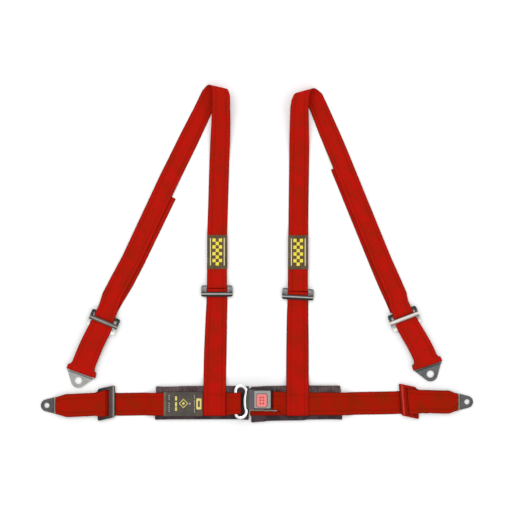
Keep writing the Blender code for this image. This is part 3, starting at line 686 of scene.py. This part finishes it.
def bridge(start, end, heights, widths, steps=9):
    """Stations along a smooth curve between two (x, y, angle) ends."""
    (x0, y0, a0), (x1, y1, a1) = start, end
    reach = math.hypot(x1 - x0, y1 - y0)
    made = []
    for i in range(1, steps):
        t = i / steps
        p, m0, q, m1 = 2 * t**3 - 3 * t**2 + 1, t**3 - 2 * t**2 + t, 3 * t**2 - 2 * t**3, t**3 - t**2
        ends = (x0, x1, math.cos, y0, y1, math.sin)
        x, y = (
            p * ends[k] + q * ends[k + 1]
            + reach * (m0 * ends[k + 2](math.radians(a0)) + m1 * ends[k + 2](math.radians(a1)))
            for k in (0, 3)
        )
        made.append((
            x, y, heights[0] + (heights[1] - heights[0]) * t, widths[0] + (widths[1] - widths[0]) * t,
            a0 + 90 + (a1 - a0) * t,
        ))
    return made


def bunched(y):
    """Width of the upper webbing, which gathers towards its fold."""
    t = max(0.0, min(1.0, (y - 575) / 95))
    return UPPER_WIDTH - 4.4 * t * t * (3 - 2 * t)


def upper_strap(side, front, fold, rear, reach):
    """One length of webbing: adjuster, front leg, fold, rear leg, rear slider, bolt plate and back."""
    slider, bar = REAR_SLIDERS[side], REAR_BARS[side]
    lean = ADJUSTERS[side][1] - 90
    low = layer(1)
    loop = [(60, low), (ADJUSTER_BAR_OUT + 4, low)]
    loop += turn_points(ADJUSTER_BAR_IN + 0.6, low + FRAME_WRAP, FRAME_WRAP, 270, 90)
    loop += [(ADJUSTER_BAR_OUT + 4, low + 2 * FRAME_WRAP)]
    follow = -math.tan(math.radians(lean))
    stations = local(ADJUSTERS[side], [(x, x * follow, z, UPPER_WIDTH) for x, z in loop], -180 - lean)
    stations += [(x, y, z, bunched(y), 0) for x, y, z in front]

    # The fold: half a turn about a tilted line, while the webbing steps aside along that line
    (fold_x, fold_y), tilt, shift = fold
    along = Vector((math.cos(math.radians(tilt)), math.sin(math.radians(tilt))))
    outward = Vector((-along.y, along.x))
    slant = bunched(fold_y) / math.cos(math.radians(tilt))
    steps = 14
    for i in range(steps + 1):
        turned = math.pi * i / steps
        spot = Vector((fold_x, fold_y)) - outward * FOLD_RADIUS * (1 - math.sin(turned))
        spot -= along * shift * (2 * i / steps - 1)
        stations.append((spot.x, spot.y, layer(0) + FOLD_RADIUS * (1 + math.cos(turned)), slant, tilt))
    stations += [(x, y, z, bunched(y), turn) for x, y, z, turn in rear]

    # Over the slider's inner bar, under its middle bar and over its outer bar
    bottom = layer(2) + WEB / 2 + GAP
    over, under = bottom + PLATE + GAP + WEB / 2, bottom - GAP - WEB / 2
    step_in, step_out, skew = reach
    thread = [(-34, low + 1.6, 44), (-22, over - 1.2, 44), (-18, over, 44), (-11.6, over, 44)]
    thread += [(-9.0, over - 1.8, 44.5), (-7.6, under + 1.8, 45), (-5.0, under, 45), (3.6, under, 47)]
    thread += [(6.4, under + 1.8, 48), (8.4, over - 1.8, 49), (11.4, over, 50), (18.6, over, 50)]
    span = thread[-1][0] - thread[0][0]
    stations += local(slider, [(x, step_in + (step_out - step_in) * (x + 34) / span, z, w) for x, z, w in thread])

    # Round the bolt plate's bar, and back under the loop
    leave = local(slider, [(19, step_out, over, 50)])[0]
    arrive = local(bar, [(-9.6, 0, over - 0.8, 52)])[0]
    ends = (leave[0], leave[1], slider[1] + skew), (arrive[0], arrive[1], bar[1])
    stations += bridge(*ends, (over, over - 0.8), (50, 52))
    cuff = [(-9.8, over - 0.8, 52), (-8.4, over - 0.9, 65), (-2, BAR_Z + BAR_WRAP, 66)]
    cuff += [(x, z, 66) for x, z in turn_points(0, BAR_Z, BAR_WRAP, 90, -90)]
    cuff += [(-7, BAR_Z - BAR_WRAP, 64), (-9, layer(1), 50)]
    stations += local(bar, [(x, 0, z, w) for x, z, w in cuff])
    stations += bridge(*ends, (layer(1), layer(2)), (48, 50))[::-1]
    stations += local(slider, [(18, step_out, low, 48), (8, step_out * 0.5, low, 46), (-14, step_in, low, 43)])

    strap = Strap(stations, passes=1, wave=0.22, nominal=UPPER_WIDTH, seed=8 if side == "left" else 9)
    first = strap.marks[len(loop)] + 8
    edge = 17.5
    replaced = ["shoulder_webbing_upper_" + side, "rear_loop_" + side]
    return strap.build("shoulder_upper_" + side, None, replaced, box_seam(-edge, edge, first, first + 34))


def tail(side, points):
    """The upper strap's free end, which lies under its rear leg."""
    stations = [(x, y, layer(0), UPPER_WIDTH, angle) for x, y, angle in points]
    strap = Strap(stations, wave=0.1, seed=10 if side == "left" else 11)
    seams = [[(-19, inset), (19, inset)] for inset in (4, 7.5)]
    strap.build("shoulder_tail_strap_" + side, "shoulder_" + side, ["shoulder_tail_" + side], seams)


lap_webbing_left()
lap_webbing_right()
backing_flap()
lap_loop("left", 0.6, 2.5)
lap_loop("right", -2.4, -2.0)

LEFT_LOWER = [(-92.5, -26), (-92.2, 42), (-91.1, 116), (-89.1, 182), (-88.0, 212)]
RIGHT_LOWER = [(88.8, -26), (88.8, 42), (89.1, 130), (89.2, 190), (89.5, 208)]
lower_strap("left", LEFT_LOWER, 262)
lower_strap("right", RIGHT_LOWER, 244)

# Front legs are (x, y, z), rear legs are (x, y, z, direction), and tails are (x, y, direction)
high, low = layer(2), layer(0)
top = low + 2 * FOLD_RADIUS
LEFT_FRONT = [
    (-87.3, 288, high), (-87.0, 375, high), (-86.3, 396, low), (-84.8, 445, low), (-82.2, 533, low + 1),
    (-80.2, 577, low + 6), (-78.4, 621, low + 16), (-77.9, 652, top - 3),
]
LEFT_REAR = [
    (-117.0, 646, low, -24), (-150.0, 578, low, -26), (-178.5, 520, low, -26), (-193.2, 490, layer(1), -26),
    (-275.4, 314, layer(1), -26), (-299.0, 270, layer(1), -26), (-318.0, 234, layer(1), -24),
]
RIGHT_FRONT = [
    (90.0, 285, high), (90.5, 372, high), (90.9, 393, low), (91.4, 445, low), (92.6, 533, low + 1),
    (92.7, 577, low + 6), (92.5, 621, low + 16), (92.2, 644, top - 3),
]
RIGHT_REAR = [
    (136.0, 648, low, 21), (155.0, 602, low, 22.6), (166.5, 575, low, 22.6), (178.0, 547, layer(1), 22.6),
    (273.0, 314, layer(1), 22.6), (292.7, 270, layer(1), 22.6), (307.5, 236, layer(1), 21.0),
]
LEFT_TAIL = [
    (-197.4, 458.5, -26), (-268.2, 312, -26), (-292.2, 266, -26), (-317.0, 225, -24), (-328.0, 205, -19),
]
RIGHT_TAIL = [
    (182.1, 521.2, 22.5), (267.2, 312, 22.6), (285.5, 268, 22.6), (304.6, 226, 20), (313.6, 205, 18),
]

strap_left = upper_strap("left", LEFT_FRONT, ((-86.0, 692.5), -13.05, 11.5), LEFT_REAR, (-1.9, -1.5, -6.0))
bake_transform(strap_left)
strap_right = upper_strap("right", RIGHT_FRONT, ((105.0, 684.0), 15.5, -15.0), RIGHT_REAR, (0.0, 2.0, 9.0))
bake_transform(strap_right)
tail("left", LEFT_TAIL)
tail("right", RIGHT_TAIL)


# ---- hardware

# Across an adjuster: painted shade at the rounded lower bar's edges round a painted highlight line; the arms further
# in keep a plain grey
ADJUSTER_BANDS = [
    (-12.3, NEAR_BLACK), (-9.4, (0.012, 0.013, 0.014)), (-8.0, (0.05, 0.05, 0.052)), (-6.9, (0.44, 0.42, 0.4)),
    (-5.7, (0.44, 0.42, 0.4)), (-4.6, (0.06, 0.058, 0.062)), (-2.0, (0.035, 0.035, 0.036)),
    (0.5, (0.15, 0.155, 0.15)), (8.0, (0.23, 0.24, 0.23)), (12.3, (0.045, 0.045, 0.045)),
]
# Across a rear slider: painted shade on its upper side, a painted highlight line on the middle bar, and painted
# light that grows to near white on its lower legs
REAR_BANDS = {
    "left": [
        (-18.5, (0.024, 0.03, 0.024)), (-8.0, (0.04, 0.045, 0.04)), (-4.6, (0.05, 0.048, 0.044)),
        (-1.4, (0.16, 0.145, 0.125)), (-0.4, (0.46, 0.43, 0.38)), (0.9, (0.17, 0.155, 0.135)),
        (3.6, (0.05, 0.047, 0.045)), (6.5, (0.48, 0.47, 0.44)), (18.5, (0.92, 0.92, 0.9)),
    ],
    "right": [
        (-18.5, (0.02, 0.026, 0.022)), (-8.0, (0.05, 0.052, 0.05)), (-4.4, (0.12, 0.11, 0.105)),
        (-2.6, (0.78, 0.73, 0.68)), (0.6, (0.66, 0.6, 0.55)), (3.4, (0.14, 0.12, 0.12)),
        (7.0, (0.36, 0.35, 0.33)), (18.5, (0.86, 0.86, 0.83)),
    ],
}
# Across a lap slider: on the left, a painted highlight line on the inner bar among dark steel; on the right, the red
# coat with a painted pink highlight line
LAP_BANDS = {
    "left": [
        (-19.0, (0.02, 0.015, 0.016)), (-17.8, (0.06, 0.05, 0.05)), (-16.6, (0.3, 0.27, 0.22)),
        (-14.8, (0.27, 0.25, 0.21)), (-13.4, (0.096, 0.08, 0.086)), (-9.0, (0.076, 0.058, 0.06)),
        (-6.0, (0.055, 0.05, 0.04)), (4.0, (0.04, 0.037, 0.04)), (19.0, (0.03, 0.028, 0.03)),
    ],
    "right": [
        (-19.0, (0.11, 0.003, 0.001)), (-15.6, (0.3, 0.007, 0.002)), (-13.8, (0.4, 0.02, 0.01)),
        (-12.9, (0.6, 0.07, 0.045)), (-12.0, (0.52, 0.04, 0.022)), (-11.0, (0.38, 0.007, 0.002)),
        (-6.6, (0.29, 0.008, 0.002)), (6.0, (0.33, 0.009, 0.002)), (19.0, (0.2, 0.004, 0.001)),
    ],
}
# Across a lap bolt plate: its dark grey, with a warm painted highlight along the bend
LAP_PLATE_BANDS = [
    (-4.0, (0.1, 0.095, 0.09)), (3.6, (0.12, 0.11, 0.1)), (5.0, (0.42, 0.37, 0.31)),
    (7.4, (0.34, 0.31, 0.27)), (9.0, (0.115, 0.108, 0.105)), (38.0, (0.105, 0.1, 0.098)),
]
COVER_BANDS = [
    (-20.0, (0.04, 0.055, 0.04)), (-17.6, (0.075, 0.09, 0.07)), (-15.0, (0.11, 0.092, 0.106)),
    (-7.5, (0.12, 0.098, 0.114)), (-6.0, (0.04, 0.036, 0.04)), (26.0, (0.08, 0.075, 0.075)),
    (31.0, (0.02, 0.02, 0.02)),
]
BASE_BANDS = [
    (-14.7, (0.2, 0.19, 0.14)), (-12.6, (0.42, 0.38, 0.31)), (-11.0, (0.2, 0.2, 0.15)),
    (-9.6, (0.04, 0.045, 0.04)), (28.0, (0.05, 0.05, 0.05)), (34.8, (0.045, 0.042, 0.045)),
]

for side in SIDES:
    left = side == "left"
    for node, coat, places, bands, slot, width, look in (
        ("shoulder_adjuster_", "adjuster_steel_", ADJUSTERS, ADJUSTER_BANDS, "dark_steel", 1.2,
         dict(roughness=0.42, metallic=0.7)),
        ("rear_slider_", "rear_slider_steel_", REAR_SLIDERS, REAR_BANDS[side], "dark_steel", 1.2,
         dict(roughness=0.38, metallic=0.8)),
        ("lap_slider_", "lap_slider_coat_", LAP_SLIDERS, LAP_BANDS[side],
         "dark_steel" if left else "red_coated_steel", 1.2,
         dict(roughness=0.45, metallic=0.5 if left else 0.0, specular=0.04)),
        ("lap_bracket_", "lap_bracket_steel_", LAP_BARS, LAP_PLATE_BANDS, "dark_steel", 0.8,
         dict(roughness=0.55, speckle=0.6, scratch=0.6)),
    ):
        banded = nodes[node + side], places[side], bands
        finish = metal_material(coat + side, (0.12, 0.12, 0.12), banded=banded, **look)
        refinish(node + side, finish, width, 4 if width > 1 else 3)
refinish("shoulder_bracket_left", SILVER, 0.8)
refinish("shoulder_bracket_right", GREY_STEEL, 0.8)
COVER_COAT = metal_material(
    "buckle_plastic", NEAR_BLACK, 0.45, metallic=0.0, specular=0.15,
    banded=(nodes["buckle_cover"], ((0.0, 0.0), 0.0), COVER_BANDS),
)
BASE_COAT = metal_material(
    "buckle_base_steel", NEAR_BLACK, 0.5, metallic=0.6,
    banded=(nodes["buckle_base"], ((0.0, 0.0), 90.0), BASE_BANDS),
)
refinish("buckle_base", BASE_COAT, 0.35)
refinish("buckle_cover", COVER_COAT, 0.9)
refinish("buckle_bezel", BRIGHT_STEEL, 0.5)
refinish("release_button", BUTTON_PLASTIC, 1.5, 5)
refinish("belt_bar", DARK_STEEL, 0.4)
refinish("latch_pin", DARK_STEEL, 0.25)
refinish("latch_lever", DARK_STEEL, 0.25)
refinish("latch_spring", SILVER, 0)


def tube_ring(bm, line, half_wide, half_thick, sides=12):
    """A closed round bar along a smooth loop of (x, y, z)."""
    points = [Vector(p) for p in line]
    for _ in range(3):
        cut = []
        for a, b in zip(points, points[1:] + points[:1]):
            cut += [a * 0.75 + b * 0.25, a * 0.25 + b * 0.75]
        points = cut
    rings = []
    for i, point in enumerate(points):
        way = (points[(i + 1) % len(points)] - points[i - 1]).normalized()
        side = way.cross(Vector((0, 0, 1))).normalized()
        up = side.cross(way)
        rings.append([
            bm.verts.new(point + side * half_wide * math.cos(a) + up * half_thick * math.sin(a))
            for a in (2 * math.pi * k / sides for k in range(sides))
        ])
    skin(bm, rings, capped=False)


def tongue():
    """The chromed ring, whose bar bows in beside the buckle, with the blade that goes inside it."""
    bm = bmesh.new()
    z = 18.2
    line = [
        (-46.5, 33.5), (-42.5, 39.2), (-35.5, 41.6), (-28.5, 39.4), (-23.4, 33.2), (-22.6, 27.0), (-25.3, 18.0),
        (-26.2, 7.0), (-25.2, -5.0), (-22.8, -13.5), (-23.6, -20.0), (-28.6, -26.8), (-36.0, -29.0),
        (-42.8, -26.6), (-46.6, -20.5), (-46.4, -10.0), (-46.4, 8.0), (-46.4, 24.0),
    ]
    tube_ring(bm, [(x, y, z) for x, y in line], 3.1, 1.7)
    slab(bm, -25.6, 5.0, -6.7, 23.3, 17.1, 19.1, 1, 3.0)
    made = piece("tongue_ring", bm, [CHROME, GREY_STEEL], "left_half")
    soften_edges(made, 0.3, 2)
    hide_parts("tongue")


def button_dimples():
    bm = bmesh.new()
    for row in range(3):
        for column in range(2):
            x, y = 7.2 + column * 6.4, 3.9 + row * 6.5
            slab(bm, x - 1.9, x + 1.9, y - 2.1, y + 2.1, 29.0, 29.5, 0, 1.4, 5)
    piece("button_grips", bm, [DIMPLE_PLASTIC], "button")


# ---- pads


def margin_ribs(side, outline, body):
    """Corded ribs, side by side across the pad's upper margin."""
    bm = bmesh.new()
    corners = sorted((p for p in outline if p[1] > 0), key=lambda p: p[0])
    pitch = 3.1
    x = corners[0][0] + 2.4
    while x < corners[-1][0] - 2.0:
        for (x0, y0), (x1, y1) in zip(corners, corners[1:]):
            if x0 <= x <= x1:
                edge = y0 + (y1 - y0) * (x - x0) / (x1 - x0)
        wobble = 0.25 * noise.noise(Vector((x * 0.31, 4.0, 0.0)))
        path = [(25.6, 6.6), (30.0, 6.85), (edge - 3.0, 6.85), (edge - 1.6, 6.5), (edge - 1.0, 5.2)]
        rings = []
        for y, z in path:
            rings.append([
                bm.verts.new((x + wobble + 0.98 * math.cos(a), y, z + 0.85 * math.sin(a)))
                for a in (math.pi * k / 6 for k in range(7))
            ])
        for near, far in zip(rings, rings[1:]):
            for k in range(6):
                bm.faces.new((near[k], near[k + 1], far[k + 1], far[k]))
        x += pitch
    # The ribs wear the paler cloth, which paints highlights on them
    piece("pad_ribs_" + side, bm, [PAD_RIB_HIGHLIT], body)


def puff(target, pressure, cap):
    """Swells a closed mesh with a cloth simulation, and caps how far each point moves."""
    rest = [v.co.copy() for v in target.data.vertices]
    cloth = target.modifiers.new("cloth", "CLOTH")
    assign(cloth.settings, use_pressure=True, uniform_pressure_force=pressure)
    cloth.settings.effector_weights.gravity = 0.0
    for step in range(1, 21):
        scene.frame_set(step)
    graph = bpy.context.evaluated_depsgraph_get()
    swollen = [v.co.copy() for v in target.evaluated_get(graph).data.vertices]
    target.modifiers.remove(cloth)
    scene.frame_set(1)
    for vert, before, after in zip(target.data.vertices, rest, swollen):
        moved = after - before
        vert.co = before + (moved if moved.length <= cap else moved.normalized() * cap)


def press(target):
    """Flattens the pad below and under the webbing, and draws in a sewn line along each margin."""
    upper_seam, lower_seam = 27.2, -29.0
    for vert in target.data.vertices:
        x, y, z = vert.co.x / MM, (vert.co.y - BUCKLE_AXIS_Y) / MM, vert.co.z / MM
        if z > 3.0:
            seam = min(abs(y - upper_seam), abs(y - lower_seam))
            z -= 0.8 * math.exp(-(seam / 1.3) ** 2)
            z = min(z, PAD_TOP - 0.05 if abs(y) < 27 else PAD_TOP + 0.3)
        vert.co = world(x, y, max(z, 0.05))


def pad(side, outline, body):
    """A thin stuffed pad, pressed flat where the webbing lies on it, with sewn ribs on its margin."""
    centre = Vector((sum(x for x, _ in outline) / len(outline), sum(y for _, y in outline) / len(outline)))
    bm = bmesh.new()
    allowance = Vector((0.999, 1.03))  # remeshing and smoothing draw the long edges in
    start = [centre + (Vector(p) - centre) * allowance for p in outline]
    bottom = [bm.verts.new((p.x, p.y, 1.2)) for p in start]
    bm.faces.new(bottom)
    raised = bmesh.ops.extrude_face_region(bm, geom=bm.faces[:])
    for vert in raised["geom"]:
        if isinstance(vert, bmesh.types.BMVert):
            vert.co.z = 6.0
    made = piece("pad_" + side, bm, [PAD])
    apply_modifier(made, "REMESH", mode="VOXEL", voxel_size=0.0028)
    puff(made, pressure=4.0, cap=0.0016)
    apply_modifier(made, "SMOOTH", factor=0.5, iterations=3)
    apply_modifier(made, "SUBSURF", levels=1, render_levels=1)
    press(made)
    made.data.shade_smooth()
    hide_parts("pelvic_pad_" + side)
    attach(made, body)
    margin_ribs(side, outline, body)


pad("left", [(-225.0, -35.6), (-15.2, -34.2), (-15.2, 39.6), (-100, 41.2), (-222.4, 38.8)], "left_half")
pad("right", [(-14.2, -40.0), (189.8, -33.6), (184.4, 41.4), (70, 41.6), (-14.2, 39.0)], "right_half")


# ---- labels


def marks(bm, boxes, face, height, index, round_by, steps=1, place=None):
    """Woven marks that stand height above the label's face. boxes are (x0, x1, y0, y1)."""
    for x0, x1, y0, y1 in boxes:
        slab(bm, x0, x1, y0, y1, face - 0.05, face + height, index, round_by, steps, place)


def hem_stitches(bm, corners, z, index, pitch=2.6):
    """Stitches round a label's edge."""
    up = Vector((0, 0, 1))
    for a, b in zip(corners, corners[1:] + corners[:1]):
        start, end = Vector((*a, z)), Vector((*b, z))
        count = max(1, int((end - start).length / pitch))
        for i in range(count):
            near = start.lerp(end, i / count)
            far = start.lerp(end, (i + 0.68) / count)
            capsule(bm, near, far, up, 0.26, index)


def shoulder_label(side, x, y):
    """Dark woven label: two pale side lines round a plain chequer."""
    low = layer(2) + WEB / 2 + GAP
    face = low + 0.9
    bm = bmesh.new()
    slab(bm, x - 22.1, x + 22.1, y - 37.2, y + 37.2, low, face, 0, 1.5)
    lines = [(at - 0.95, at + 0.95, y - 29.5, y + 30.5) for at in (x - 14.9, x + 15.3)]
    marks(bm, lines, face, 0.22, 1, 0.4, 3)
    wide, tall = 7.0, 7.4
    cells = [
        (x + (column - 1) * wide, y + (row - 3.5) * tall)
        for column in range(3) for row in range(8) if (column + row) % 2
    ]
    marks(bm, [(cx - wide / 2, cx + wide / 2, cy - tall / 2, cy + tall / 2) for cx, cy in cells], face, 0.2, 3, 0.3)
    corners = [(x - 20.6, y - 35.6), (x + 20.6, y - 35.6), (x + 20.6, y + 35.6), (x - 20.6, y + 35.6)]
    hem_stitches(bm, corners, face, 2)
    finishes = [LABEL, PALE_THREAD, HEM_THREAD, YELLOW_THREAD]
    made = piece("shoulder_badge_" + side, bm, finishes, "shoulder_" + side, False)
    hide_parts("shoulder_label_" + side)


def lap_label():
    """Dark woven label with a tan border and plain pale fields in place of print."""
    low = ON_PAD + WEB / 2 + GAP
    face = low + 0.9
    bm = bmesh.new()
    slab(bm, -204, -119, -26.4, 26.4, low, face, 0, 2.0)
    marks(bm, [(-203.6, -198.4, -25.8, 25.8)], face, 0.16, 1, 0.8, 3)
    dashes = [(-193.4, -190.2, -17 + row * 4.4, -14.6 + row * 4.4) for row in range(9) if row != 5]
    marks(bm, dashes, face, 0.16, 3, 0.3)
    blocks = [(-178.8, -174.6, y0, y1) for y0, y1 in ((-14.5, -6.5), (-5.0, 4.5), (8.0, 17.0))]
    marks(bm, blocks, face, 0.18, 2, 0.5, 2)
    diamond = Matrix.Translation((-160.5, 1.5, 0)) @ Matrix.Rotation(math.radians(45), 4, "Z")
    reach, inside = 7.2, 5.7
    bars = [(-reach, reach, inside, reach), (-reach, reach, -reach, -inside)]
    bars += [(-reach, -inside, -inside, inside), (inside, reach, -inside, inside)]
    marks(bm, bars, face, 0.18, 2, 0.2, 1, diamond)
    marks(bm, [(-2.4, 2.4, -2.4, 2.4)], face, 0.18, 2, 0.3, 1, diamond)
    marks(bm, [(-149.0, -144.5, -1.2, 3.2)], face, 0.16, 3, 0.4)
    lines = [(-137.4, -135.6, y0, y1) for y0, y1 in ((-18.5, -8.0), (-6.0, 9.0), (11.5, 20.5))]
    marks(bm, lines, face, 0.16, 3, 0.3)
    marks(bm, [(-132.6, -121.2, -11.6, 12.6)], face, 0.2, 2, 2.6, 3)
    slab(bm, -128.8, -124.6, -6.4, 7.6, face + 0.1, face + 0.3, 0, 1.4)
    hem_stitches(bm, [(-196.6, -24.8), (-120.6, -24.8), (-120.6, 24.8), (-196.6, 24.8)], face, 4)
    finishes = [LAP_LABEL, LABEL_BORDER, SOFT_YELLOW, GREY_THREAD, HEM_THREAD]
    made = piece("lap_badge", bm, finishes, "left_half", False)
    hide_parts("lap_label")


tongue()
button_dimples()
shoulder_label("left", -86.8, 332.5)
shoulder_label("right", 90.3, 331.8)
lap_label()


# ---- stage

assign(scene.view_settings, view_transform="Standard", look="None")


def soft_light(name, place, size, power):
    """A round area light that faces the harness."""
    light = assign(bpy.data.lights.new(name, "AREA"), shape="DISK", size=size, energy=power)
    facing = (-Vector(place)).to_track_quat("-Z", "Y")
    assign(new_object(name, light), location=place, rotation_euler=facing.to_euler())


grid = bmesh.new()
bmesh.ops.create_grid(grid, x_segments=8, y_segments=8, size=6.0)
ground = bpy.data.meshes.new("floor")
grid.to_mesh(ground)
grid.free()
g = Graph("floor", roughness=0.9, specular=0.0)
g.set(color=g.mix(g.ramp(g.noise(3.0), 0.3, 0.7), (0.93, 0.93, 0.93), (0.95, 0.95, 0.95)))
ground.materials.append(g.material)
floor = new_object("floor", ground)
floor.location.z = -0.0002

soft_light("key", (-0.7, 1.1, 2.6), 2.4, 24.0)
soft_light("fill", (1.4, -1.0, 2.6), 2.6, 10.0)
sky = assign(bpy.data.worlds.new("studio"), use_nodes=True)
backdrop = sky.node_tree.nodes["Background"].inputs
backdrop["Color"].default_value = (1.0, 1.0, 1.0, 1.0)
backdrop["Strength"].default_value = 0.86
lens = assign(bpy.data.cameras.new("camera"), lens=85.0, sensor_width=36.0)
camera = assign(new_object("camera", lens), location=(-0.002, -0.0054, 2.651))
assign(scene, world=sky, camera=camera)
